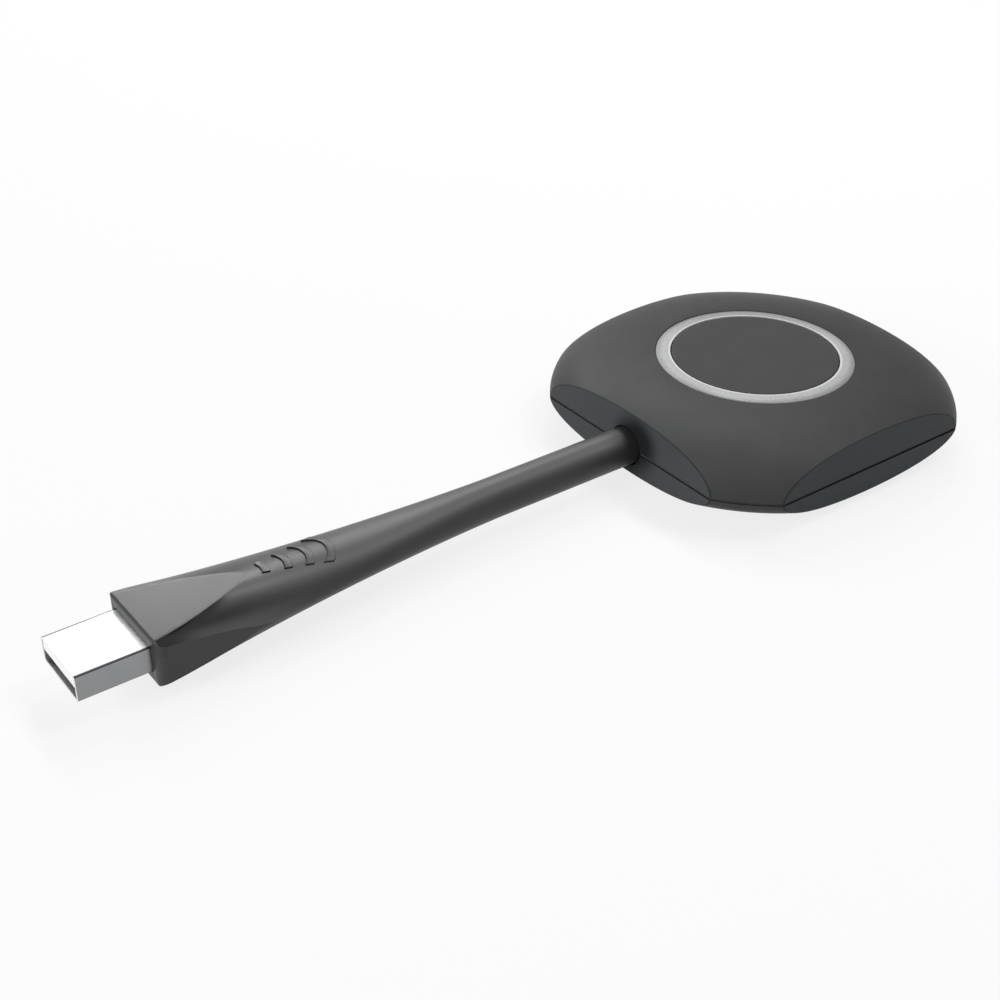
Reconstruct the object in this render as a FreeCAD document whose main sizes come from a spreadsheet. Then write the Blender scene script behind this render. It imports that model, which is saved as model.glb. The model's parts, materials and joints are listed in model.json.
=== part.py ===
import FreeCAD, Part
import Sketcher
import math
import os
import re

# Wireless screen sharing dongle, in millimetres.
# +Z is up and +Y runs from the plug to the puck. The origin is on the surface that the foot
# stands on, under the axis of the round button.

SIZES = [
    # The puck
    ("across_flats", 62.0, "between opposite side facets of the puck"),
    ("rim_radius", 38.0, "round rim that the four facets are cut from"),
    ("crown_height", 9.1, "seam to the top of the dome"),
    ("base_curve", 6.7, "depth of the lower dome, before its underside is cut flat"),
    ("base_depth", 6.2, "seam to the flat underside"),
    ("wall", 2.0, "thickness of the shells"),
    ("floor_thick", 1.8, "thickness of the flat underside"),
    ("seam_gap", 0.4, "height of the dark groove at the seam"),
    ("seam_inset", 0.5, "depth of that groove"),
    ("lip_wall", 0.8, "thickness of the lip inside the seam"),
    ("lip_depth", 1.2, "reach of the lip below the seam"),
    ("lip_root", 0.5, "reach of the lip up into the top shell"),
    ("fit_gap", 0.1, "clearance between parts that slide together"),
    # The anti-slip foot
    ("foot_radius", 22.6, "rubber foot"),
    ("foot_recess", 0.5, "depth that the foot sits into the underside"),
    ("foot_proud", 0.4, "height that the foot stands out"),
    ("foot_bevel", 0.25, "bevel round the foot"),
    # The screws that close the shells
    ("screw_place", 20.0, "screw axis from the puck axis, along X and along Y"),
    ("pillar_radius", 2.9, "screw pillars in both shells"),
    ("pillar_meet", 1.2, "seam down to where the pillars meet"),
    ("pillar_root", 6.4, "seam up to the root of the upper pillar"),
    ("sleeve_root", 4.5, "seam down to the root of the lower pillar"),
    ("seat_depth", 3.9, "seam down to the seat of the screw head"),
    ("screw_head", 1.9, "radius of the shell screw's head"),
    ("screw_head_thick", 1.2, "thickness of that head"),
    ("screw_shank", 0.95, "radius of the shell screw's shank"),
    ("screw_length", 8.0, "length of that shank"),
    ("screw_play", 0.15, "clearance round a screw"),
    ("pilot_play", 0.025, "clearance of a shank in its pilot hole"),
    ("cross_long", 2.0, "length of the cross recess"),
    ("cross_wide", 0.45, "width of the cross recess"),
    ("cross_deep", 0.6, "depth of the cross recess"),
    # The light ring and its carrier
    ("ring_inner", 15.7, "inner radius of the light ring"),
    ("ring_outer", 18.3, "outer radius of the light ring's face"),
    ("ring_gap", 0.15, "shadow gap between the ring and the top shell"),
    ("ring_inner_drop", 0.1, "dome top down to the ring's inner edge"),
    ("ring_outer_drop", 0.5, "dome top down to the ring's outer edge"),
    ("ring_swell", 0.14, "height that the ring's face bulges"),
    ("ring_seat", 2.6, "dome top down to the seat of the ring's flange"),
    ("flange_thick", 0.9, "thickness of the ring's flange"),
    ("flange_reach", 1.8, "reach of the flange beyond the ring's face"),
    ("seat_wide", 2.5, "width of the flat seat moulded in the top shell"),
    ("seat_thick", 1.1, "height of that seat's land"),
    ("light_wall_inner", 0.5, "inner wall of the reflector"),
    ("light_wall_outer", 1.2, "outer wall of the reflector"),
    ("light_base", 0.8, "base of the reflector"),
    ("light_play", 0.25, "button opening to the reflector's inner wall"),
    ("window_wide", 17.0, "opening in the reflector for the cable"),
    ("window_high", 4.4, "height of that opening above the board"),
    # The button
    ("button_gap", 0.2, "running gap round the button"),
    ("button_drop", 0.12, "dome top down to the button's face"),
    ("button_thick", 1.5, "thickness of the button's face"),
    ("button_bevel", 0.3, "bevel round the button's face"),
    ("skirt_depth", 3.8, "depth of the button's skirt"),
    ("skirt_wall", 1.2, "thickness of that skirt"),
    ("button_travel", 0.5, "travel of the button when it is pressed"),
    ("pusher_radius", 2.0, "boss under the button that works the switch"),
    ("leg_place", 11.2, "radius of the four guide legs"),
    ("leg_thick", 1.2, "radial thickness of a leg"),
    ("leg_wide", 3.2, "width of a leg"),
    ("leg_root", 0.5, "depth that a leg roots in the button's face"),
    ("toe_reach", 0.8, "reach of the hook on a leg"),
    ("toe_high", 0.8, "height of that hook"),
    ("toe_gap", 0.05, "hook to the underside of the guide"),
    ("guide_high", 3.4, "underside of the guide above the board"),
    ("guide_thick", 1.2, "thickness of the guide plate"),
    ("guide_wall", 0.9, "thickness of the guide's skirt"),
    ("guide_hole", 4.6, "hole in the guide for the switch"),
    ("slot_play", 0.15, "clearance of a leg in its slot"),
    # The switch
    ("switch_side", 6.0, "side of the square switch body"),
    ("switch_high", 3.5, "height of the switch body"),
    ("plunger_radius", 1.75, "switch plunger"),
    ("plunger_rise", 1.5, "height of the plunger above the switch body"),
    ("plunger_sink", 1.2, "length of the plunger inside the switch body"),
    ("bore_play", 0.3, "bore left under the plunger when the button is pressed"),
    ("switch_leg_place", 2.25, "middle of the switch to a leg along Y"),
    # The circuit board and what is on it
    ("board_play", 0.38, "edge of the round circuit board to the screw pillars"),
    ("board_thick", 1.0, "thickness of the circuit board"),
    ("board_drop", 0.8, "seam down to the board's upper face"),
    ("notch_wide", 19.0, "notch in the board for the cable"),
    ("notch_play", 0.5, "wire housing to the edge of the notch"),
    ("board_screw_place", 22.6, "radius of the board screws"),
    ("post_radius", 1.9, "posts under the board"),
    ("small_shank", 0.75, "radius of a small screw's shank"),
    ("small_head", 1.5, "radius of a small screw's head"),
    ("small_head_thick", 0.8, "thickness of a small screw's head"),
    ("board_screw_length", 3.2, "length of a board screw's shank"),
    ("led_circle", 17.6, "radius of the circle of lamps"),
    ("led_long", 2.0, "length of a lamp"),
    ("led_wide", 1.25, "width of a lamp"),
    ("led_high", 0.65, "height of a lamp"),
    ("led_play", 0.3, "clearance round a lamp in the reflector"),
    ("soc_side", 14.0, "side of the video chip"),
    ("soc_thick", 1.3, "thickness of the video chip"),
    ("soc_place", 3.0, "centre of the video chip along Y"),
    ("pad_thick", 0.5, "thickness of the thermal pad"),
    ("spreader_wide", 26.0, "width of the heat spreader"),
    ("spreader_long", 20.0, "length of the heat spreader"),
    ("chip_side", 7.0, "side of the memory chip and of the radio board"),
    ("chip_place", 6.8, "centres of the upper chips along X and Y"),
    ("chip_thick", 1.0, "thickness of the memory chip"),
    ("radio_board", 0.6, "thickness of the radio's own board"),
    ("can_high", 1.5, "height of the radio's screening can"),
    ("can_inset", 0.3, "edge of the radio board to its can"),
    ("can_wall", 0.2, "sheet of the can"),
    ("inductor_side", 4.0, "side of the power inductor"),
    ("inductor_high", 2.0, "height of the power inductor"),
    ("flash_long", 6.0, "length of the flash chip"),
    ("flash_wide", 5.0, "width of the flash chip"),
    ("flash_thick", 0.9, "thickness of the flash chip"),
    ("crystal_long", 3.2, "length of the crystal"),
    ("crystal_wide", 2.5, "width of the crystal"),
    ("crystal_high", 0.8, "height of the crystal"),
    ("regulator_side", 3.0, "side of the power regulator"),
    ("outer_place", 22.6, "radius of the small parts outside the reflector"),
    ("cap_long", 1.6, "length of a small capacitor"),
    ("cap_wide", 0.8, "width and height of a small capacitor"),
    ("resistor_place", 20.7, "radius of the small resistors"),
    ("resistor_long", 1.0, "length of a small resistor"),
    ("resistor_wide", 0.5, "width of a small resistor"),
    ("resistor_high", 0.35, "height of a small resistor"),
    # The cable inside the puck
    ("header_wide", 7.6, "width of the socket under the board"),
    ("header_long", 4.0, "length of that socket"),
    ("header_high", 2.3, "height of that socket"),
    ("header_wall", 0.7, "walls of the socket at its sides"),
    ("header_skin", 0.35, "walls of the socket above and below"),
    ("housing_long", 4.2, "length of the wire housing"),
    ("housing_back", 1.4, "length of the housing outside its socket"),
    ("wire_radius", 0.35, "radius of an insulated wire"),
    ("wire_pitch", 1.25, "spacing of the wires in their housing"),
    ("wire_start_pitch", 0.8, "spacing of the wires in the cable"),
    ("wire_stub", 0.6, "straight stretch where a wire leaves the cable"),
    ("wire_bend", 1.0, "bend radius of a wire"),
    ("jacket_radius", 1.9, "radius of the cable's jacket"),
    ("jacket_past", 0.5, "length of the jacket past the clamp"),
    ("wire_span", 4.3, "end of the jacket to the wire housing"),
    ("clamp_wide", 15.4, "width of the cable clamp and its saddle"),
    ("clamp_long", 5.2, "length of the cable clamp and its saddle"),
    ("clamp_high", 3.0, "height of the clamp above the seam"),
    ("clamp_gap", 0.05, "half the gap between the clamp and its saddle"),
    ("clamp_screw_place", 5.2, "clamp screw from the middle of the cable"),
    ("clamp_screw_length", 6.0, "length of a clamp screw's shank"),
    # The antennas
    ("antenna_thick", 0.4, "thickness of an antenna"),
    ("antenna_long", 16.0, "length of an antenna"),
    ("antenna_high", 4.0, "height of an antenna"),
    ("antenna_low", 1.6, "seam down to an antenna's lower edge"),
    ("socket_side", 2.6, "side of a coaxial socket"),
    ("socket_high", 0.6, "height of a coaxial socket"),
    ("plug_radius", 1.0, "radius of a coaxial plug"),
    ("plug_high", 1.0, "height of a coaxial plug"),
    ("coax_radius", 0.4, "radius of a coaxial lead"),
    ("coax_bend", 1.5, "bend radius of a coaxial lead"),
    ("coax_rise", 3.0, "puck's side wall to the point where the lead turns"),
    ("coax_run", 6.0, "length that the lead runs along the wall"),
    # The tail: one soft moulding from the plug to the puck
    ("reach", 126.75, "puck axis to the front face of the grip"),
    ("oval_side", 5.0, "side of the plug to the side of the front face's oval, before it is trimmed"),
    ("oval_over", 3.25, "top of the plug to the top of that oval"),
    ("grip_side", 2.6, "side of the plug to the flat side of the grip"),
    ("grip_over", 1.9, "top of the plug to the flat top of the grip"),
    ("grip_corner", 1.8, "rounding of the front face's upright corners"),
    ("grip_edge", 0.4, "rounding of the front face's long edges"),
    ("stem_skin", 1.65, "moulding round the cable in the round stem"),
    ("taper_length", 66.0, "front face to where the grip has become the stem"),
    ("taper_power", 1.4, "how fast the width tapers"),
    ("waist_length", 13.0, "how fast the height tapers"),
    ("stem_gap", 0.2, "gap round the stem where it enters the puck"),
    ("anchor_wide", 13.0, "width of the moulding's flange inside the puck"),
    ("anchor_high", 6.7, "height of that flange"),
    ("anchor_thick", 1.9, "thickness of that flange"),
    ("mark_start", 21.6, "front face to the crown of the first raised arc"),
    ("mark_pitch", 3.81, "spacing of the raised arcs"),
    ("mark_radius", 4.2, "inner radius of a raised arc"),
    ("mark_wide", 1.25, "width of a raised arc"),
    ("mark_relief", 0.35, "height of a raised arc"),
    ("mark_apex", 15.4, "front face to the point of the wedge that ends the arcs"),
    ("mark_slope", 0.234, "half width of that wedge for each millimetre of its length"),
    # The plug
    ("plug_exposed", 11.75, "length of plug in front of the grip"),
    ("plug_buried", 4.6, "length of plug inside the grip"),
    ("plug_wide", 12.0, "width of the plug's shell"),
    ("plug_thick", 4.5, "height of the plug's shell"),
    ("plug_sheet", 0.3, "sheet of the plug's shell"),
    ("plug_corner", 0.4, "outer corner radius of the plug's shell"),
    ("plug_inner_corner", 0.2, "corner radius inside the shell and on the tongue"),
    ("tongue_thick", 1.9, "thickness of the tongue"),
    ("tongue_back", 0.1, "tip of the shell to the tip of the tongue"),
    ("tongue_open", 9.2, "depth of the slot in front of the tongue's block"),
    ("tongue_play", 0.05, "clearance of the tongue in the shell"),
    ("contact_wide", 1.0, "width of a contact"),
    ("contact_thick", 0.25, "thickness of a contact"),
    ("contact_proud", 0.08, "height that a contact stands out of the tongue"),
    ("contact_start", 1.6, "tip of the shell to the tip of a contact"),
    ("contact_tail", 1.6, "length of a contact behind the shell"),
    ("contact_inner", 1.0, "middle of the plug to the inner contacts"),
    ("contact_outer", 3.5, "middle of the plug to the outer contacts"),
    ("latch_wide", 2.3, "side of a latch window in the plug's underside"),
    ("latch_place", 2.85, "middle of the plug to a latch window"),
    ("latch_start", 5.2, "tip of the shell to a latch window"),
    ("mould_skin", 0.9, "soft skin in front of the hard inner mould"),
    ("mould_side", 0.4, "wall of the inner mould at each side of the plug"),
    ("mould_over", 0.65, "wall of the inner mould above and below the plug"),
    ("mould_long", 11.0, "front face to the rear of the inner mould"),
    ("pocket_wide", 9.6, "width of the pocket for the soldered ends"),
    ("pocket_high", 2.8, "height of that pocket"),
    ("pocket_long", 2.6, "length of that pocket"),
    ("core_bend", 0.42, "bend radius of a soldered core"),
    ("ferrule_wall", 0.5, "wall of the crimped ferrule"),
    ("ferrule_long", 3.4, "length of the ferrule"),
]

# Stations of the grip's ovals, as shares of the taper's length.
STATIONS = (0.0, 0.09, 0.18, 0.27, 0.42, 0.6, 0.8, 1.0)
LAMPS = 8
MARKS = 4
LEGS = 4
# The domes follow height * sqrt(1 - (r / radius) ** DOME_POWER) through this many points.
DOME_POWER = 4
DOME_STEPS = 14
# Degrees from +X of what stands round the board's edge.
BOARD_SCREW_ANGLES = (90, 210, 330)
CRYSTAL_ANGLE = 62
REGULATOR_ANGLE = 118
CAPACITOR_ANGLES = (30, 38, 48, 74, 104, 132, 142, 150, 196, 344)
RESISTOR_ANGLES = (20, 30, 40, 50, 60, 120, 130, 140, 150, 160, 200, 340)
WIRE_COLOURS = ("red", "white", "green", "black")
# Millimetres within which two places count as one, and the cosine past which two lines count as parallel.
SAME = 0.01
PARALLEL = 0.999

doc = FreeCAD.newDocument("ScreenSharingDongle")
sheet = doc.addObject("Spreadsheet::Sheet", "Sizes")
for row, (alias, value, note) in enumerate(SIZES, 1):
    sheet.set(f"A{row}", alias)
    sheet.set(f"B{row}", str(value))
    sheet.set(f"C{row}", note)
    sheet.setAlias(f"B{row}", alias)
doc.recompute()
size = {alias: float(sheet.get(alias)) for alias, value, note in SIZES}

# Heights and places that several parts share, as rules on the sheet's cells.
SEAM = "(base_depth + foot_proud)"
FLOOR = "(foot_proud + floor_thick)"
DOME_TOP = f"({SEAM} + crown_height)"
FLAT = "(across_flats / 2)"
INNER_FLAT = "(across_flats / 2 - wall)"
INNER_RIM = "(rim_radius - wall)"
BOARD_TOP = f"({SEAM} - board_drop)"
BOARD_LOW = f"({BOARD_TOP} - board_thick)"
RING_HOLE = "(ring_outer + ring_gap)"
SEAT = f"({DOME_TOP} - ring_seat)"
FLANGE_LOW = f"({SEAT} - flange_thick)"
FLANGE_EDGE = "(ring_outer + flange_reach)"
LIGHT_IN = "(ring_inner + light_play)"
LIGHT_OUT = FLANGE_EDGE
BUTTON_EDGE = "(ring_inner - button_gap)"
BUTTON_TOP = f"({DOME_TOP} - button_drop)"
GUIDE_LOW = f"({BOARD_TOP} + guide_high)"
SWITCH_TOP = f"({BOARD_TOP} + switch_high)"
PLUNGER_TOP = f"({SWITCH_TOP} + plunger_rise)"
SOC_LOW = f"({BOARD_LOW} - soc_thick)"
FACE = "(-reach)"
TIP = "(-reach - plug_exposed)"
SHELL_END = "(-reach + plug_buried)"
MOULD_END = "(-reach + mould_long)"
TONGUE_LOW = f"({SEAM} + plug_thick / 2 - plug_sheet - tongue_play - tongue_thick)"
BOARD_RADIUS = "(screw_place * sqrt(2) - pillar_radius - board_play)"
CLAMP_END = f"({INNER_FLAT} - fit_gap - anchor_thick - fit_gap)"
CLAMP_START = f"({CLAMP_END} - clamp_long)"
JACKET_END = f"({CLAMP_START} - jacket_past)"
HOUSING_END = f"({JACKET_END} - wire_span)"
HEADER_MOUTH = f"({HOUSING_END} - housing_back)"
NOTCH = f"({HOUSING_END} + notch_play)"
STEM = "(jacket_radius + stem_skin)"
OVAL_WIDE = "(plug_wide / 2 + oval_side)"
OVAL_HIGH = "(plug_thick / 2 + oval_over)"
GRIP_WIDE = "(plug_wide + 2 * grip_side)"
GRIP_HIGH = "(plug_thick + 2 * grip_over)"
MOULD_WIDE = "(plug_wide + 2 * mould_side)"
MOULD_HIGH = "(plug_thick + 2 * mould_over)"


def rule(text):
    """The text as an expression on the sheet, each alias with the sheet's name before it."""
    return re.sub(r"[a-z][a-z_]*", lambda word: f"Sizes.{word[0]}" if word[0] in size else word[0], text)


def bind(thing, **rules):
    for name, text in rules.items():
        thing.setExpression(name, rule(str(text)))
    return thing


def put(thing, x="0", y="0", z="0", turn=None):
    """Places a thing by rules, after turning it to the given rotation."""
    if turn is not None:
        thing.Placement = FreeCAD.Placement(FreeCAD.Vector(), turn)
    for axis, text in (("x", x), ("y", y), ("z", z)):
        thing.setExpression(f"Placement.Base.{axis}", rule(str(text)))
    return thing


def box(name, x, y, z):
    """A box between a low and a high rule on each axis."""
    thing = doc.addObject("Part::Box", name)
    bind(thing, Length=f"({x[1]}) - ({x[0]})", Width=f"({y[1]}) - ({y[0]})", Height=f"({z[1]}) - ({z[0]})")
    return put(thing, x[0], y[0], z[0])


def centred(x, width):
    """Low and high rules of a width about a middle."""
    return (f"({x}) - ({width}) / 2", f"({x}) + ({width}) / 2")


# Turns what lies in the XY plane to stand across the Y axis.
UPRIGHT = FreeCAD.Rotation(FreeCAD.Vector(1, 0, 0), 90)
TURNS = {"z": FreeCAD.Rotation(), "y": FreeCAD.Rotation(FreeCAD.Vector(1, 0, 0), -90)}


def rod(name, radius, middle, span, along="z"):
    """A cylinder along Z or Y, from the first rule of span to the second."""
    thing = doc.addObject("Part::Cylinder", name)
    bind(thing, Radius=radius, Height=f"({span[1]}) - ({span[0]})")
    low = (middle[0], middle[1], span[0]) if along == "z" else (middle[0], span[0], middle[1])
    return put(thing, *low, turn=TURNS[along])


def fuse(name, *things):
    thing = doc.addObject("Part::MultiFuse", name)
    thing.Shapes = list(things)
    return thing


def common(name, *things):
    thing = doc.addObject("Part::MultiCommon", name)
    thing.Shapes = list(things)
    return thing


def cut(name, base, *tools):
    thing = doc.addObject("Part::Cut", name)
    thing.Base = base
    thing.Tool = tools[0] if len(tools) == 1 else fuse(f"{name}_tools", *tools)
    return thing


def group(name, things):
    thing = doc.addObject("Part::Compound", name)
    thing.Links = list(things)
    return thing


def rounded(name, base, radius, chosen):
    """Rounds the edges that the test picks, once the base has its shape."""
    doc.recompute()
    numbers = [i for i, edge in enumerate(base.Shape.Edges, 1) if chosen(edge)]
    thing = doc.addObject("Part::Fillet", name)
    thing.Base = base
    thing.Edges = [(i, radius, radius) for i in numbers]
    return thing


def runs_along(edge, axis):
    first, last = edge.Vertexes[0].Point, edge.Vertexes[-1].Point
    return abs((last - first).normalize()[axis]) > PARALLEL


def turned(name, corners):
    """A body turned about the puck's axis from corners given as rules of radius and height."""
    body = doc.addObject("PartDesign::Body", name)
    sketch = body.newObject("Sketcher::SketchObject", f"{name}_outline")
    plane = next(f for f in body.Origin.OriginFeatures if f.Role == "XZ_Plane")
    sketch.AttachmentSupport = [(plane, "")]
    sketch.MapMode = "FlatFace"
    points = [FreeCAD.Vector(number(r), number(h), 0) for r, h in corners]
    count = len(points)
    for i in range(count):
        sketch.addGeometry(Part.LineSegment(points[i], points[(i + 1) % count]), False)
    for i in range(count):
        sketch.addConstraint(Sketcher.Constraint("Coincident", i, 2, (i + 1) % count, 1))
    for i, (radius, height) in enumerate(corners):
        if points[i].x == 0:
            sketch.addConstraint(Sketcher.Constraint("PointOnObject", i, 1, -2))
        else:
            at = sketch.addConstraint(Sketcher.Constraint("DistanceX", -1, 1, i, 1, points[i].x))
            sketch.setExpression(f"Constraints[{at}]", rule(radius))
        if points[i].y == 0:
            sketch.addConstraint(Sketcher.Constraint("PointOnObject", i, 1, -1))
        else:
            at = sketch.addConstraint(Sketcher.Constraint("DistanceY", -1, 1, i, 1, points[i].y))
            sketch.setExpression(f"Constraints[{at}]", rule(height))
    turn = body.newObject("PartDesign::Revolution", f"{name}_turn")
    turn.Profile = sketch
    turn.ReferenceAxis = (sketch, ["V_Axis"])
    turn.Angle = 360
    return body


def number(text):
    """The value of a rule, for what a sketch or a curve needs at its start."""
    probe = doc.getObject("Probe") or doc.addObject("App::FeaturePython", "Probe")
    if "reading" not in probe.PropertiesList:
        probe.addProperty("App::PropertyFloat", "reading")
    probe.setExpression("reading", rule(str(text)))
    probe.recompute()
    return probe.reading


def dome(name, radius, height, up):
    """Solid of revolution under a dome's curve, upwards or downwards from the seam."""
    points = []
    for i in range(DOME_STEPS + 1):
        angle = math.pi / 2 * i / DOME_STEPS
        r = radius * math.sin(angle)
        rise = height * math.sqrt(max(0.0, 1 - (r / radius) ** DOME_POWER))
        points.append(FreeCAD.Vector(r, 0, number(SEAM) + up * rise))
    curve = Part.BSplineCurve()
    curve.interpolate(Points=points, InitialTangent=FreeCAD.Vector(1, 0, 0),
                      FinalTangent=FreeCAD.Vector(0, 0, -up))
    middle = FreeCAD.Vector(0, 0, number(SEAM))
    outline = Part.Wire([curve.toShape(), Part.LineSegment(points[-1], middle).toShape(),
                         Part.LineSegment(middle, points[0]).toShape()])
    solid = Part.Face(outline).revolve(FreeCAD.Vector(), FreeCAD.Vector(0, 0, 1), 360)
    thing = doc.addObject("Part::Feature", name)
    thing.Shape = solid
    thing.Placement = FreeCAD.Placement()
    return thing


def square_block(name, flat, z):
    """A square block about the puck's axis, with its sides at a distance from it."""
    return box(name, (f"-({flat})", flat), (f"-({flat})", flat), z)


def slab(name, flat, radius, z):
    """A plate with the puck's outline: a square with round corners."""
    square = square_block(f"{name}_square", flat, z)
    disc = rod(f"{name}_disc", radius, ("0", "0"), z)
    return common(name, square, disc)


def tube(name, points, radius, bend):
    """A round lead along straight runs joined by tangent arcs."""
    places = [FreeCAD.Vector(*[number(c) for c in point]) for point in points]
    edges = []
    start = places[0]
    for before, corner, after in zip(places, places[1:], places[2:]):
        into = (corner - before).normalize()
        out = (after - corner).normalize()
        half = into.getAngle(out) / 2
        back = bend * math.tan(half)
        first = corner - into * back
        last = corner + out * back
        inward = (out - into).normalize()
        centre = corner + inward * (bend / math.cos(half))
        middle = centre - inward * bend
        edges.append(Part.LineSegment(start, first).toShape())
        edges.append(Part.Arc(first, middle, last).toShape())
        start = last
    edges.append(Part.LineSegment(start, places[-1]).toShape())
    path = Part.Wire(edges)
    direction = (places[1] - places[0]).normalize()
    section = Part.Wire([Part.Circle(places[0], direction, radius).toShape()])
    thing = doc.addObject("Part::Feature", name)
    thing.Shape = path.makePipeShell([section], True, True)
    thing.Placement = FreeCAD.Placement()
    return thing


def screw(name, x, y, seat, head, head_thick, shank, length, down):
    """A pan head screw with a cross recess; down is 1 when it is driven downwards."""
    near = f"({seat}) + ({head_thick}) * {down}"
    far = f"({seat}) - ({length}) * {down}"
    spans = [sorted((seat, near), key=number), sorted((seat, far), key=number)]
    cap = rod(f"{name}_head", head, (x, y), spans[0])
    stem = rod(f"{name}_shank", shank, (x, y), spans[1])
    deep = sorted((near, f"({near}) - cross_deep * {down}"), key=number)
    crosses = [box(f"{name}_slot_x", centred(x, "cross_long"), centred(y, "cross_wide"), deep),
               box(f"{name}_slot_y", centred(x, "cross_wide"), centred(y, "cross_long"), deep)]
    return cut(name, fuse(f"{name}_body", cap, stem), *crosses)


def polar(radius, degrees):
    """Rules of a place at a radius and an angle from +X."""
    angle = math.radians(degrees)
    return (f"({radius}) * {math.cos(angle):.6f}", f"({radius}) * {math.sin(angle):.6f}")


def polar_box(name, radius, degrees, radial, across, z):
    """A box about a place on a circle, turned so that one side faces the axis."""
    angle = math.radians(degrees)
    cosine, sine = f"{math.cos(angle):.6f}", f"{math.sin(angle):.6f}"
    near = f"(({radius}) - ({radial}) / 2)"
    side = f"(({across}) / 2)"
    thing = doc.addObject("Part::Box", name)
    bind(thing, Length=radial, Width=across, Height=f"({z[1]}) - ({z[0]})")
    turn = FreeCAD.Rotation(FreeCAD.Vector(0, 0, 1), degrees)
    x = f"{near} * {cosine} + {side} * {sine}"
    y = f"{near} * {sine} - {side} * {cosine}"
    return put(thing, x, y, z[0], turn)


PIECES = {}


def piece(name, thing, solids=1):
    """Gives a finished sub-part its name, and notes how many separate solids it holds."""
    thing.Label = name
    PIECES[name] = (thing, solids)
    return thing


CORNERS = [(f"{a} * screw_place", f"{b} * screw_place") for a in (1, -1) for b in (1, -1)]
BOARD_SCREWS = [polar("board_screw_place", degrees) for degrees in BOARD_SCREW_ANGLES]
CLAMP_SPAN = (f"-{CLAMP_END}", f"-{CLAMP_START}")
CLAMP_MIDDLE = f"(-({CLAMP_START} + {CLAMP_END}) / 2)"
CLAMP_SCREWS = [(f"{side} * clamp_screw_place", CLAMP_MIDDLE) for side in (1, -1)]


def seam_groove(name):
    """The ring of space outside the seam's narrow contact land."""
    z = centred(SEAM, "seam_gap")
    outside = rod(f"{name}_block", "rim_radius + wall", ("0", "0"), z)
    return cut(name, outside, slab(f"{name}_land", f"{FLAT} - seam_inset", "rim_radius - seam_inset", z))


def stem_hole(name):
    span = (f"-{FLAT} - wall", f"-{INNER_FLAT} + fit_gap")
    return rod(name, f"{STEM} + stem_gap", ("0", SEAM), span, "y")


def top_shell():
    outer = dome("top_form", size["rim_radius"], size["crown_height"], 1)
    inner = dome("top_hollow", size["rim_radius"] - size["wall"], size["crown_height"] - size["wall"], 1)
    high = (SEAM, f"{DOME_TOP} + wall")
    faceted = common("top_faceted", outer, square_block("top_facets", FLAT, high))
    hollow = common("top_space", inner, square_block("top_space_box", INNER_FLAT, high))
    skin = cut("top_skin", faceted, hollow)
    land = rod("ring_land", f"{RING_HOLE} + seat_wide", ("0", "0"), (SEAT, f"{SEAT} + seat_thick"))
    pillar_span = (f"{SEAM} - pillar_meet", f"{SEAM} + pillar_root")
    pillars = [rod(f"top_pillar_{i}", "pillar_radius", place, pillar_span)
               for i, place in enumerate(CORNERS, 1)]
    lip_span = (f"{SEAM} - lip_depth", f"{SEAM} + lip_root")
    lip = cut("top_lip",
              slab("lip_outside", f"{INNER_FLAT} + lip_wall", f"{INNER_RIM} + lip_wall", lip_span),
              slab("lip_inside", INNER_FLAT, INNER_RIM, lip_span))
    whole = fuse("top_whole", skin, land, lip, *pillars)
    holes = [rod(f"top_pilot_{i}", "screw_shank + pilot_play", place,
                 (f"{SEAM} - pillar_meet", f"{SEAM} - seat_depth + screw_length + fit_gap"))
             for i, place in enumerate(CORNERS, 1)]
    opening = rod("ring_opening", RING_HOLE, ("0", "0"), (f"{SEAT} - wall", f"{DOME_TOP} + wall"))
    return cut("TopShell", whole, opening, seam_groove("top_groove"), stem_hole("top_stem_hole"), *holes)


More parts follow.
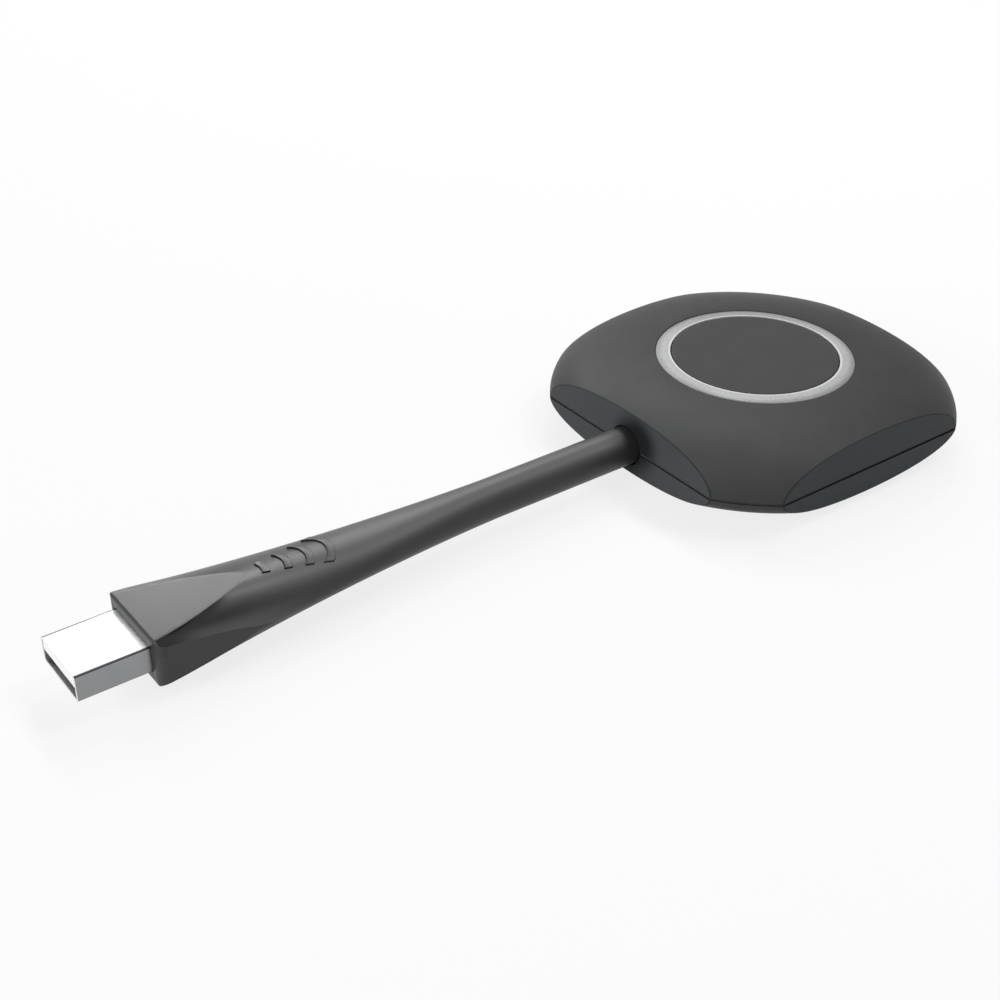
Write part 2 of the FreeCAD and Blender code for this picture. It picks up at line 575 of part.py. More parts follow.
def bottom_shell():
    outer = dome("base_form", size["rim_radius"], size["base_curve"], -1)
    inner = dome("base_hollow", size["rim_radius"] - size["wall"], size["base_curve"] - size["wall"], -1)
    faceted = common("base_faceted", outer, square_block("base_facets", FLAT, ("foot_proud", SEAM)))
    hollow = common("base_space", inner, square_block("base_space_box", INNER_FLAT, (FLOOR, SEAM)))
    skin = cut("base_skin", faceted, hollow)
    sleeve_span = (f"{SEAM} - sleeve_root", f"{SEAM} - pillar_meet")
    sleeves = [rod(f"base_sleeve_{i}", "pillar_radius", place, sleeve_span)
               for i, place in enumerate(CORNERS, 1)]
    posts = [rod(f"board_post_{i}", "post_radius", place, (f"{FLOOR} - floor_thick / 2", BOARD_LOW))
             for i, place in enumerate(BOARD_SCREWS, 1)]
    saddle = box("cable_saddle", centred("0", "clamp_wide"), CLAMP_SPAN,
                 (f"{FLOOR} - floor_thick / 2", f"{SEAM} - clamp_gap"))
    whole = fuse("base_whole", skin, saddle, *sleeves, *posts)
    rebate = slab("base_rebate", f"{INNER_FLAT} + lip_wall + fit_gap", f"{INNER_RIM} + lip_wall + fit_gap",
                  (f"{SEAM} - lip_depth - fit_gap", SEAM))
    rebate = cut("base_rebate_ring", rebate,
                 slab("base_rebate_core", INNER_FLAT, INNER_RIM, (f"{SEAM} - lip_depth - fit_gap", SEAM)))
    recess = rod("foot_recess_hole", "foot_radius + fit_gap", ("0", "0"), ("0", "foot_proud + foot_recess"))
    sinks = [rod(f"screw_sink_{i}", "screw_head + screw_play", place, ("0", f"{SEAM} - seat_depth"))
             for i, place in enumerate(CORNERS, 1)]
    passes = [rod(f"screw_pass_{i}", "screw_shank + screw_play", place,
                  (f"{SEAM} - seat_depth", f"{SEAM} - pillar_meet")) for i, place in enumerate(CORNERS, 1)]
    pilots = [rod(f"post_pilot_{i}", "small_shank + pilot_play", place,
                  (f"{BOARD_TOP} - board_screw_length - fit_gap", BOARD_LOW))
              for i, place in enumerate(BOARD_SCREWS, 1)]
    clamp_pilots = [rod(f"clamp_pilot_{i}", "small_shank + pilot_play", place,
                        (f"{SEAM} + clamp_high - clamp_screw_length - fit_gap", SEAM))
                    for i, place in enumerate(CLAMP_SCREWS, 1)]
    groove = rod("saddle_groove", "jacket_radius", ("0", SEAM), CLAMP_SPAN, "y")
    return cut("BottomShell", whole, rebate, recess, seam_groove("base_groove"), stem_hole("base_stem_hole"),
               groove, *sinks, *passes, *pilots, *clamp_pilots)


def light_ring():
    middle = "((ring_inner + ring_outer) / 2)"
    middle_top = f"({DOME_TOP} - (ring_inner_drop + ring_outer_drop) / 2 + ring_swell)"
    return turned("LightRing", [
        ("ring_inner", FLANGE_LOW),
        (FLANGE_EDGE, FLANGE_LOW),
        (FLANGE_EDGE, SEAT),
        ("ring_outer", SEAT),
        ("ring_outer", f"{DOME_TOP} - ring_outer_drop"),
        (middle, middle_top),
        ("ring_inner", f"{DOME_TOP} - ring_inner_drop"),
    ])


def ring_reflector():
    inner = f"({LIGHT_IN} + light_wall_inner)"
    outer = f"({LIGHT_OUT} - light_wall_outer)"
    base = f"({BOARD_TOP} + light_base)"
    trough = turned("reflector_trough", [
        (LIGHT_IN, BOARD_TOP),
        (LIGHT_OUT, BOARD_TOP),
        (LIGHT_OUT, FLANGE_LOW),
        (outer, FLANGE_LOW),
        (outer, base),
        (inner, base),
        (inner, FLANGE_LOW),
        (LIGHT_IN, FLANGE_LOW),
    ])
    windows = [polar_box(f"lamp_window_{i}", "led_circle", 360 * (i + 0.5) / LAMPS,
                         "led_wide + 2 * led_play", "led_long + 2 * led_play", (f"{BOARD_TOP} - wall", base))
               for i in range(LAMPS)]
    way = box("cable_way", centred("0", "window_wide"), (f"-{LIGHT_OUT} - wall", f"-{inner}"),
              (f"{BOARD_TOP} - wall", f"{BOARD_TOP} + window_high"))
    return cut("RingReflector", trough, way, *windows)


def button_cap():
    under_face = f"({BUTTON_TOP} - button_thick)"
    inside = f"({BUTTON_EDGE} - skirt_wall)"
    skirt_low = f"({BUTTON_TOP} - skirt_depth)"
    face = turned("button_face", [
        ("0", PLUNGER_TOP),
        ("pusher_radius", PLUNGER_TOP),
        ("pusher_radius", under_face),
        (inside, under_face),
        (inside, skirt_low),
        (BUTTON_EDGE, skirt_low),
        (BUTTON_EDGE, f"{BUTTON_TOP} - button_bevel"),
        (f"{BUTTON_EDGE} - button_bevel", BUTTON_TOP),
        ("0", BUTTON_TOP),
    ])
    toe_top = f"({GUIDE_LOW} - toe_gap)"
    toe_low = f"({toe_top} - toe_high)"
    legs = []
    for i in range(LEGS):
        degrees = 360 * i / LEGS
        legs.append(polar_box(f"leg_{i + 1}", "leg_place", degrees, "leg_thick", "leg_wide",
                              (toe_low, f"{under_face} + leg_root")))
        legs.append(polar_box(f"toe_{i + 1}", "leg_place + toe_reach / 2", degrees, "leg_thick + toe_reach",
                              "leg_wide", (toe_low, toe_top)))
    return fuse("ButtonCap", face, *legs)


def button_guide():
    outer = f"({LIGHT_IN} - fit_gap)"
    inner = f"({outer} - guide_wall)"
    top = f"({GUIDE_LOW} + guide_thick)"
    plate = turned("guide_plate", [
        ("guide_hole", GUIDE_LOW),
        (inner, GUIDE_LOW),
        (inner, BOARD_TOP),
        (outer, BOARD_TOP),
        (outer, top),
        ("guide_hole", top),
    ])
    slots = [polar_box(f"guide_slot_{i + 1}", "leg_place", 360 * i / LEGS, "leg_thick + 2 * slot_play",
                       "leg_wide + 2 * slot_play", (f"{GUIDE_LOW} - guide_thick", f"{top} + guide_thick"))
             for i in range(LEGS)]
    way = box("guide_way", centred("0", "window_wide"), (f"-{LIGHT_OUT}", f"-{inner} + 2 * guide_wall"),
              (f"{BOARD_TOP} - wall", f"{GUIDE_LOW} - fit_gap"))
    return cut("ButtonGuide", plate, way, *slots)


def switch():
    half = "(switch_side / 2)"
    block = box("switch_block", (f"-{half}", half), (f"-{half}", half), (BOARD_TOP, SWITCH_TOP))
    bore = rod("switch_bore", "plunger_radius + fit_gap", ("0", "0"),
               (f"{SWITCH_TOP} - plunger_sink - button_travel - bore_play", SWITCH_TOP))
    piece("switch_body", cut("SwitchBody", block, bore))
    piece("switch_plunger", rod("SwitchPlunger", "plunger_radius", ("0", "0"),
                                (f"{SWITCH_TOP} - plunger_sink", PLUNGER_TOP)))
    leg_z = (BOARD_TOP, f"{BOARD_TOP} + contact_thick")
    legs = [box(f"switch_leg_{i}", centred(f"{a} * ({half} + contact_wide / 2)", "contact_wide"),
                centred(f"{b} * switch_leg_place", "contact_wide"), leg_z)
            for i, (a, b) in enumerate([(1, 1), (1, -1), (-1, 1), (-1, -1)], 1)]
    piece("switch_legs", group("SwitchLegs", legs), len(legs))


def circuit_board():
    z = (BOARD_LOW, BOARD_TOP)
    disc = rod("board_disc", BOARD_RADIUS, ("0", "0"), z)
    notch = box("board_notch", centred("0", "notch_wide"), (f"-{BOARD_RADIUS} - wall", f"-{NOTCH}"), z)
    holes = [rod(f"board_hole_{i}", "small_shank + screw_play", place, z)
             for i, place in enumerate(BOARD_SCREWS, 1)]
    piece("main_board", cut("MainBoard", disc, notch, *holes))
    screws = [screw(f"board_screw_{i}", *place, BOARD_TOP, "small_head", "small_head_thick", "small_shank",
                    "board_screw_length", 1) for i, place in enumerate(BOARD_SCREWS, 1)]
    piece("board_screws", group("BoardScrews", screws), len(screws))


def above(thick):
    """Heights of a part that stands on the board."""
    return (BOARD_TOP, f"{BOARD_TOP} + ({thick})")


def under(thick):
    """Heights of a part that hangs under the board."""
    return (f"{BOARD_LOW} - ({thick})", BOARD_LOW)


def board_parts():
    """Chips and small parts on both faces of the board."""
    lamps = [polar_box(f"lamp_{i + 1}", "led_circle", 360 * (i + 0.5) / LAMPS, "led_wide", "led_long",
                       above("led_high")) for i in range(LAMPS)]
    piece("status_leds", group("StatusLeds", lamps), LAMPS)
    soc_x, soc_y = centred("0", "soc_side"), centred("soc_place", "soc_side")
    spreader_y = centred("soc_place", "spreader_long")
    left, right = centred("-chip_place", "chip_side"), centred("chip_place", "chip_side")
    piece("soc_chip", box("SocChip", soc_x, soc_y, under("soc_thick")))
    piece("thermal_pad", box("ThermalPad", soc_x, soc_y, (f"{SOC_LOW} - pad_thick", SOC_LOW)))
    piece("heat_spreader", box("HeatSpreader", centred("0", "spreader_wide"), spreader_y,
                               (FLOOR, f"{SOC_LOW} - pad_thick")))
    piece("memory_chip", box("MemoryChip", left, right, above("chip_thick")))
    piece("wifi_board", box("WifiBoard", right, right, above("radio_board")))
    can_side = "chip_side - 2 * can_inset"
    can_z = (f"{BOARD_TOP} + radio_board", f"{BOARD_TOP} + radio_board + can_high")
    can = box("can_block", centred("chip_place", can_side), centred("chip_place", can_side), can_z)
    inside = box("can_space", centred("chip_place", f"{can_side} - 2 * can_wall"),
                 centred("chip_place", f"{can_side} - 2 * can_wall"), (can_z[0], f"{can_z[1]} - can_wall"))
    piece("wifi_can", cut("WifiCan", can, inside))
    piece("power_inductor", box("PowerInductor", centred("-chip_place", "inductor_side"),
                                centred("-chip_place", "inductor_side"), above("inductor_high")))
    piece("flash_chip", box("FlashChip", centred("chip_place", "flash_long"),
                            centred("-chip_place", "flash_wide"), above("flash_thick")))
    piece("crystal", polar_box("Crystal", "outer_place", CRYSTAL_ANGLE, "crystal_wide", "crystal_long",
                               above("crystal_high")))
    piece("power_regulator", polar_box("PowerRegulator", "outer_place", REGULATOR_ANGLE, "regulator_side",
                                       "regulator_side", above("flash_thick")))
    caps = [polar_box(f"cap_{i}", "outer_place", degrees, "cap_wide", "cap_long", above("cap_wide"))
            for i, degrees in enumerate(CAPACITOR_ANGLES, 1)]
    piece("capacitors", group("Capacitors", caps), len(caps))
    resistors = [polar_box(f"resistor_{i}", "resistor_place", degrees, "resistor_wide", "resistor_long",
                           under("resistor_high")) for i, degrees in enumerate(RESISTOR_ANGLES, 1)]
    piece("resistors", group("Resistors", resistors), len(resistors))


def cable_in_puck():
    z_low = f"({BOARD_LOW} - header_high)"
    block = box("header_block", centred("0", "header_wide"),
                (f"-{HEADER_MOUTH}", f"-{HEADER_MOUTH} + header_long"), (z_low, BOARD_LOW))
    slot = box("header_slot", centred("0", "header_wide - 2 * header_wall"),
               (f"-{HEADER_MOUTH} - wall", f"-{HEADER_MOUTH} + header_long - header_wall"),
               (f"{z_low} + header_skin", f"{BOARD_LOW} - header_skin"))
    piece("board_header", cut("BoardHeader", block, slot))
    back = f"(-{HOUSING_END})"
    piece("wire_housing", box("WireHousing", centred("0", "header_wide - 2 * header_wall - 2 * fit_gap"),
                              (back, f"{back} + housing_long"),
                              (f"{z_low} + header_skin + fit_gap", f"{BOARD_LOW} - header_skin - fit_gap")))
    level = f"({z_low} + header_high / 2)"
    for i, colour in enumerate(WIRE_COLOURS):
        lane = i - (len(WIRE_COLOURS) - 1) / 2
        start, end = f"({lane} * wire_start_pitch)", f"({lane} * wire_pitch)"
        points = [(start, f"-{JACKET_END}", SEAM), (start, f"-{JACKET_END} + wire_stub", SEAM),
                  (end, f"{back} - wire_stub", level), (end, back, level)]
        piece(f"wire_{colour}", tube(f"Wire{colour.title()}", points, size["wire_radius"], size["wire_bend"]))
    bar = box("clamp_bar", centred("0", "clamp_wide"), CLAMP_SPAN,
              (f"{SEAM} + clamp_gap", f"{SEAM} + clamp_high"))
    groove = rod("clamp_groove", "jacket_radius", ("0", SEAM), CLAMP_SPAN, "y")
    passes = [rod(f"clamp_pass_{i}", "small_shank + screw_play", place, (SEAM, f"{SEAM} + clamp_high"))
              for i, place in enumerate(CLAMP_SCREWS, 1)]
    piece("cable_clamp", cut("CableClamp", bar, groove, *passes))
    screws = [screw(f"clamp_screw_{i}", *place, f"{SEAM} + clamp_high", "small_head", "small_head_thick",
                    "small_shank", "clamp_screw_length", 1) for i, place in enumerate(CLAMP_SCREWS, 1)]
    piece("clamp_screws", group("ClampScrews", screws), len(screws))


def antennas():
    """An antenna on each side wall, with its lead to a socket on the board."""
    sockets, plugs = [], []
    for side, name in ((-1, "left"), (1, "right")):
        wall_face = f"({side} * {INNER_FLAT})"
        inner_face = f"({side} * ({INNER_FLAT} - antenna_thick))"
        x = (wall_face, inner_face) if side < 0 else (inner_face, wall_face)
        piece(f"antenna_{name}", box(f"Antenna{name.title()}", x, centred("0", "antenna_long"),
                                     (f"{SEAM} - antenna_low", f"{SEAM} - antenna_low + antenna_high")))
        place = (f"{side} * outer_place", "0")
        socket_top = f"({BOARD_TOP} + socket_high)"
        sockets.append(box(f"coax_socket_{name}", centred(place[0], "socket_side"),
                           centred("0", "socket_side"), (BOARD_TOP, socket_top)))
        plug_span = (socket_top, f"{socket_top} + plug_high")
        plugs.append(rod(f"coax_plug_{name}", "plug_radius", place, plug_span))
        level = f"({socket_top} + plug_high / 2)"
        start = f"({side} * (outer_place + plug_radius))"
        turn_x = f"({side} * ({INNER_FLAT} - coax_rise))"
        points = [(start, "0", level), (turn_x, "0", level),
                  (f"{side} * ({INNER_FLAT} - antenna_thick - coax_radius)", "coax_run / 2", level),
                  (f"{side} * ({INNER_FLAT} - antenna_thick - coax_radius)", "coax_run", level)]
        piece(f"coax_{name}", tube(f"Coax{name.title()}", points, size["coax_radius"], size["coax_bend"]))
    piece("coax_sockets", group("CoaxSockets", sockets), len(sockets))
    piece("coax_plugs", group("CoaxPlugs", plugs), len(plugs))


def oval(name, share, relief):
    """One oval section of the grip, at a share of the taper's length."""
    wide = f"{STEM} + ({OVAL_WIDE} - {STEM}) * (1 - {share}) ^ taper_power + {relief}"
    high = (f"{STEM} + ({OVAL_HIGH} - {STEM}) * (1 - {share} ^ 2)"
            f" / (1 + ({share} * taper_length / waist_length) ^ 2) + {relief}")
    thing = doc.addObject("Part::Ellipse", name)
    bind(thing, MajorRadius=wide, MinorRadius=high)
    return put(thing, "0", f"{FACE} + {share} * taper_length", SEAM, UPRIGHT)


def taper(name, relief):
    thing = doc.addObject("Part::Loft", name)
    thing.Sections = [oval(f"{name}_{i}", share, relief) for i, share in enumerate(STATIONS)]
    thing.Solid = True
    return thing


def raised_arcs():
    """Four arc-shaped ribs on top of the grip, each a slice of a ring that a wedge ends."""
    z = (SEAM, f"{SEAM} + {OVAL_HIGH} + mark_relief")
    rings = []
    for i in range(MARKS):
        middle = ("0", f"{FACE} + mark_start + {i} * mark_pitch - mark_radius")
        disc = rod(f"arc_{i + 1}_disc", "mark_radius + mark_wide", middle, z)
        hole = rod(f"arc_{i + 1}_hole", "mark_radius", middle, z)
        front = box(f"arc_{i + 1}_front", centred("0", "4 * mark_radius"),
                    (f"{middle[1]} - 2 * mark_radius", middle[1]), z)
        rings.append(cut(f"arc_{i + 1}", disc, hole, front))
    near, far = "mark_wide", f"({MARKS} * mark_pitch + mark_start - mark_apex + mark_wide)"
    wedge = doc.addObject("Part::Wedge", "arc_wedge")
    bind(wedge, Ymin=near, Ymax=far, Zmin=z[0], Zmax=z[1], Z2min=z[0], Z2max=z[1],
         Xmin=f"-mark_slope * {near}", Xmax=f"mark_slope * {near}",
         X2min=f"-mark_slope * {far}", X2max=f"mark_slope * {far}")
    put(wedge, "0", f"{FACE} + mark_apex", "0")
    return common("raised_arcs", taper("arc_skin", "mark_relief"), fuse("arc_rings", *rings), wedge)


def tail_moulding():
    front = (FACE, f"{FACE} + taper_length")
    plan = box("grip_plan", centred("0", GRIP_WIDE), front, centred(SEAM, f"4 * {OVAL_HIGH}"))
    plan = rounded("grip_plan_round", plan, size["grip_corner"],
                   lambda e: runs_along(e, 2) and abs(e.CenterOfMass.y + size["reach"]) < SAME)
    side = box("grip_profile", centred("0", f"4 * {OVAL_WIDE}"), front, centred(SEAM, GRIP_HIGH))
    side = rounded("grip_profile_round", side, size["grip_edge"],
                   lambda e: runs_along(e, 0) and abs(e.CenterOfMass.y + size["reach"]) < SAME)
    grip = common("grip_body", taper("grip_taper", "0"), plan, side)
    anchor_front = f"(-{INNER_FLAT} + fit_gap)"
    anchor_back = f"({anchor_front} + anchor_thick)"
    stem = rod("stem", STEM, ("0", SEAM), (f"{FACE} + taper_length", anchor_front), "y")
    anchor = box("anchor_flange", centred("0", "anchor_wide"), (anchor_front, anchor_back),
                 centred(SEAM, "anchor_high"))
    whole = fuse("tail_whole", grip, stem, anchor, raised_arcs())
    mould = box("mould_space", centred("0", MOULD_WIDE), (f"{FACE} + mould_skin", MOULD_END),
                centred(SEAM, MOULD_HIGH))
    mouth = box("plug_mouth", centred("0", "plug_wide"), (f"{FACE} - wall", f"{FACE} + mould_skin"),
                centred(SEAM, "plug_thick"))
    bore = rod("cable_bore", "jacket_radius", ("0", SEAM), (MOULD_END, anchor_back), "y")
    return cut("TailMoulding", whole, mould, mouth, bore)


def plug_frame(name, grow, y):
    """A long box about the plug's axis, grown beyond the shell on every side."""
    x = centred("0", f"plug_wide + 2 * ({grow})")
    return box(name, x, y, centred(SEAM, f"plug_thick + 2 * ({grow})"))


def plug():
    y = (TIP, SHELL_END)
    outside = rounded("shell_outside", plug_frame("shell_block", "0", y), size["plug_corner"],
                      lambda e: runs_along(e, 1))
    inside = rounded("shell_inside", plug_frame("shell_space", "-plug_sheet", y), size["plug_inner_corner"],
                     lambda e: runs_along(e, 1))
    latches = [box(f"latch_{i}", centred(f"{side} * latch_place", "latch_wide"),
                   (f"{TIP} + latch_start", f"{TIP} + latch_start + latch_wide"),
                   (f"{SEAM} - plug_thick", f"{SEAM} - plug_thick / 2 + 2 * plug_sheet"))
               for i, side in enumerate((1, -1), 1)]
    piece("usb_shell", cut("UsbShell", outside, inside, *latches))

    half = "(plug_wide / 2 - plug_sheet - tongue_play)"
    top = f"({SEAM} + plug_thick / 2 - plug_sheet - tongue_play)"
    low = f"({SEAM} - plug_thick / 2 + plug_sheet + tongue_play)"
    blade = box("tongue_blade", (f"-{half}", half), (f"{TIP} + tongue_back", SHELL_END), (TONGUE_LOW, top))
    block = box("tongue_block", (f"-{half}", half), (f"{TIP} + tongue_open", SHELL_END), (low, top))
    whole = rounded("tongue_whole", fuse("tongue_rough", blade, block), size["plug_inner_corner"],
                    lambda e: runs_along(e, 1) and e.Length > size["plug_buried"])
    contact_z = (f"{TONGUE_LOW} - contact_proud", f"{TONGUE_LOW} - contact_proud + contact_thick")
    lanes = ("-contact_outer", "-contact_inner", "contact_inner", "contact_outer")
    contact_y = (f"{TIP} + contact_start", f"{SHELL_END} + contact_tail")
    grooves = [box(f"contact_groove_{i}", centred(lane, "contact_wide"), contact_y, contact_z)
               for i, lane in enumerate(lanes, 1)]
    contacts = [box(f"contact_{i}", centred(lane, "contact_wide"), contact_y, contact_z)
                for i, lane in enumerate(lanes, 1)]
    piece("usb_tongue", cut("UsbTongue", whole, *grooves))
    piece("usb_contacts", group("UsbContacts", contacts), len(contacts))

    rear = f"({SHELL_END} + pocket_long)"
    mould = box("mould_block", centred("0", MOULD_WIDE), (f"{FACE} + mould_skin", MOULD_END),
                centred(SEAM, MOULD_HIGH))
    pocket = box("mould_pocket", centred("0", "pocket_wide"), (SHELL_END, rear), centred(SEAM, "pocket_high"))
    seat = plug_frame("mould_seat", "0", (f"{FACE} + mould_skin", SHELL_END))
    crimp = (f"{MOULD_END} - ferrule_long", MOULD_END)
    wide_bore = rod("ferrule_bore", "jacket_radius + ferrule_wall", ("0", SEAM), crimp, "y")
    bore = rod("mould_bore", "jacket_radius", ("0", SEAM), (rear, MOULD_END), "y")
    piece("plug_inner_mould", cut("PlugInnerMould", mould, pocket, seat, wide_bore, bore))
    ring = rod("ferrule_outside", "jacket_radius + ferrule_wall", ("0", SEAM), crimp, "y")
    hole = rod("ferrule_inside", "jacket_radius", ("0", SEAM), crimp, "y")
    piece("crimp_ferrule", cut("CrimpFerrule", ring, hole))
    piece("usb_cable", rod("UsbCable", "jacket_radius", ("0", SEAM), (rear, f"-{JACKET_END}"), "y"))

    cores = []
    for i, lane in enumerate(lanes):
        end = f"({i - (len(lanes) - 1) / 2} * wire_start_pitch)"
        tail = f"({contact_z[1]} + wire_radius)"
        points = [(lane, SHELL_END, tail), (lane, f"{SHELL_END} + wire_stub", tail),
                  (end, f"{rear} - wire_stub", tail), (end, rear, tail)]
        cores.append(tube(f"core_{i + 1}", points, size["wire_radius"], size["core_bend"]))
    piece("plug_conductors", group("PlugConductors", cores), len(cores))


def foot():
    return turned("FootPad", [
        ("0", "0"),
        ("foot_radius - foot_bevel", "0"),
        ("foot_radius", "foot_bevel"),
        ("foot_radius", "foot_proud + foot_recess"),
        ("0", "foot_proud + foot_recess"),
    ])


piece("top_shell", top_shell())
piece("bottom_shell", bottom_shell())
piece("light_ring", light_ring())
piece("ring_reflector", ring_reflector())
piece("button_cap", button_cap())
piece("button_guide", button_guide())
switch()
circuit_board()
board_parts()
cable_in_puck()
antennas()
piece("shell_screws", group("ShellScrews", [
    screw(f"shell_screw_{i}", *place, f"{SEAM} - seat_depth", "screw_head", "screw_head_thick", "screw_shank",
          "screw_length", -1) for i, place in enumerate(CORNERS, 1)]), len(CORNERS))
piece("foot_pad", foot())
piece("tail_moulding", tail_moulding())
plug()
doc.recompute()

faults = []
for thing in doc.Objects:
    if {"Invalid", "Error"} & set(thing.State):
        faults.append(f"{thing.Label} is {thing.State}")
for name, (thing, solids) in PIECES.items():
    shape = thing.Shape
    if shape.isNull() or not shape.isValid():
        faults.append(f"{name} has no sound shape")
    elif len(shape.Solids) != solids:
        faults.append(f"{name} has {len(shape.Solids)} solids, not {solids}")
if faults:
    raise SystemExit("\n".join(faults))

os.makedirs("parts", exist_ok=True)
for name, (thing, solids) in PIECES.items():
    thing.Shape.exportStep(f"parts/{name}.step")
print(f"{len(PIECES)} parts")
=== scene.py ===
import json
import math

import bmesh
import bpy
from bpy.props import FloatProperty, FloatVectorProperty, PointerProperty
from mathutils import Matrix, Vector


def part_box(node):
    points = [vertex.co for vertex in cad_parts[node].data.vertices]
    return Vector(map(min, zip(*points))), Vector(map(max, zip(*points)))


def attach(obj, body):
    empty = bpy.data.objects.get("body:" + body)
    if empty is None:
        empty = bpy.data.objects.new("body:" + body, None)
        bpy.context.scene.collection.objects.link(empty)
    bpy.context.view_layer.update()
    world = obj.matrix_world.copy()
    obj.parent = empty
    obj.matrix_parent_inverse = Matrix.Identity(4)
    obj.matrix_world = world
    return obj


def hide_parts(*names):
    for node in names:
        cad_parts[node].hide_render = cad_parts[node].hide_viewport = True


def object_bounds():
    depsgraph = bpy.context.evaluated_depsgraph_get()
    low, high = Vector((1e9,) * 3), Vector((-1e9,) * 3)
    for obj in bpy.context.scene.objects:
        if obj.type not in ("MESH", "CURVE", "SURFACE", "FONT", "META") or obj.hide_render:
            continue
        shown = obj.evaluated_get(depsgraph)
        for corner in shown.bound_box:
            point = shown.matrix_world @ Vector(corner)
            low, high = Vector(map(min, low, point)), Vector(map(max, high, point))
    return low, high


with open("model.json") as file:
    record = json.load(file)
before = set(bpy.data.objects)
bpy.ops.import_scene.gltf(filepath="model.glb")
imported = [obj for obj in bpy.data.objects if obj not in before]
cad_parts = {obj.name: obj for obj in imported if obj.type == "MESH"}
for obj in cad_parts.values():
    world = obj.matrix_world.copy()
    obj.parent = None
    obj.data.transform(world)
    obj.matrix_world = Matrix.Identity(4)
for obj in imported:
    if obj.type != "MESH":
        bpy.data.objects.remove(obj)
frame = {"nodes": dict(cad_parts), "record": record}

bl_info = {
    "name": "Screen Sharing Dongle",
    "version": (1, 0, 0),
    "blender": (4, 5, 0),
    "location": "View3D > Sidebar > Dongle",
    "description": "Builds the puck, tail and plug of a wireless screen sharing dongle",
    "category": "Object",
}

CAD_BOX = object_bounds()
MM = 0.001
X, Y, Z = 0, 1, 2

# Millimetres. +Y runs from the plug to the puck, whose axis is the origin's.
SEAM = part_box("bottom_shell")[1].z / MM
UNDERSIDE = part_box("bottom_shell")[0].z / MM
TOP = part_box("light_ring")[1].z / MM
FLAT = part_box("top_shell")[1].x / MM
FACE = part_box("tail_moulding")[0].y / MM
TIP = CAD_BOX[0].y / MM

# The puck: a round rim cut by four flat facets, a dome over the seam and a shallower one under it.
RIM = FLAT + 7.0
CROWN = 9.1
BASE = 6.7
WALL = 2.0
LIP = 1.2
BRIM = 1.2
RING_HOLE = 18.45
RING_INNER = 15.7
RING_STEP = 13.1
STEP_HOLE = 20.95
BUTTON = 15.5
FOOT_RECESS = 22.7
SCREW_PLACE = 20.0
PILLAR = 2.9
PILLAR_END = 5.4
PILOT = 0.975
CORNER_SOFT = 0.2

# Rings of the outer skin: distances in from the dome's border, drops below it, and the number of
# rings from there to the seam groove.
DOME_STEPS = (12.4, 10.4, 8.4, 6.6, 5.1, 3.9, 2.9, 2.1, 1.5, 1.05, 0.7, 0.45, 0.3, 0.19, 0.11, 0.05, 0.0)
SIDE_DROPS = (0.05, 0.11, 0.19, 0.3, 0.45)
SIDE_STEPS = 6

# The tail: an oval grip with flats, which tapers to a round stem.
STEM = 3.55
TAPER = 66.0
HALF_GRIP = (8.6, 4.15)
GRIP_CORNER = 1.8
GRIP_EDGE = 0.4
HOLLOW = 0.15
CABLE_BORE = 1.93
POCKET = (6.4, 2.9)
ANCHOR = (6.5, 3.35)
HALF_PLUG = (6.0, 2.25)

# The raised arcs, whose ends lie on a wedge. Places are measured from the grip's front face.
RIB_FIRST = 21.6
RIB_PITCH = 3.81
RIB_INNER = 4.2
RIB_OUTER = 5.45
RIB_EDGE = 0.04
RIB_ROOT = -0.5
WEDGE_SLOPE = 0.234
WEDGE_APEX = 15.4


# Settings

class DongleSizes(bpy.types.PropertyGroup):
    """Sizes of the edges and gaps that catch the light"""
    facet_edge: FloatProperty(name="Facet edge", default=0.0002, min=0.00005, unit="LENGTH",
                              description="Softness of the edges between the domes and the side facets")
    crease: FloatProperty(name="Grip crease", default=0.00005, min=0.00002, unit="LENGTH",
                          description="Softness of the creases along the grip")
    seam: FloatProperty(name="Seam groove", default=0.00055, min=0.0001, unit="LENGTH",
                        description="Height of the dark groove between the two shells")
    seam_depth: FloatProperty(name="Seam depth", default=0.0003, min=0.0001, unit="LENGTH",
                              description="Depth of that groove")
    rib: FloatProperty(name="Rib height", default=0.00025, min=0.0001, unit="LENGTH",
                       description="Height of the four raised arcs on the grip")


class DongleColours(bpy.types.PropertyGroup):
    """Colours of the finishes"""
    shell: FloatVectorProperty(name="Shells", subtype="COLOR", default=(0.069, 0.070, 0.070), min=0, max=1,
                               description="Matt black plastic of the puck")
    # The facets' cooler black is a painted reflection of a cool surround.
    facet: FloatVectorProperty(name="Facets", subtype="COLOR", default=(0.065, 0.069, 0.073), min=0, max=1,
                               description="The cooler black of the side facets")
    button: FloatVectorProperty(name="Button", subtype="COLOR", default=(0.044, 0.045, 0.044), min=0, max=1,
                                description="Black plastic of the round button")
    tail: FloatVectorProperty(name="Tail", subtype="COLOR", default=(0.027, 0.0275, 0.028), min=0, max=1,
                              description="Soft black moulding from the plug to the puck")
    ring: FloatVectorProperty(name="Light ring", subtype="COLOR", default=(0.285, 0.287, 0.29), min=0, max=1,
                              description="Frosted light guide round the button")
    steel: FloatVectorProperty(name="Plug steel", subtype="COLOR", default=(0.86, 0.87, 0.88), min=0, max=1,
                               description="Plated steel of the plug's shell")
    foot: FloatVectorProperty(name="Foot", subtype="COLOR", default=(0.030, 0.030, 0.031), min=0, max=1,
                              description="Rubber of the anti-slip foot")


def sizes():
    """The sizes that the user sets."""
    return bpy.context.scene.dongle_sizes


def colour(name):
    """One of the colours that the user sets."""
    return tuple(getattr(bpy.context.scene.dongle_colours, name))


def groove():
    """Height of the seam groove in millimetres."""
    return sizes().seam / MM


# Modelling helpers

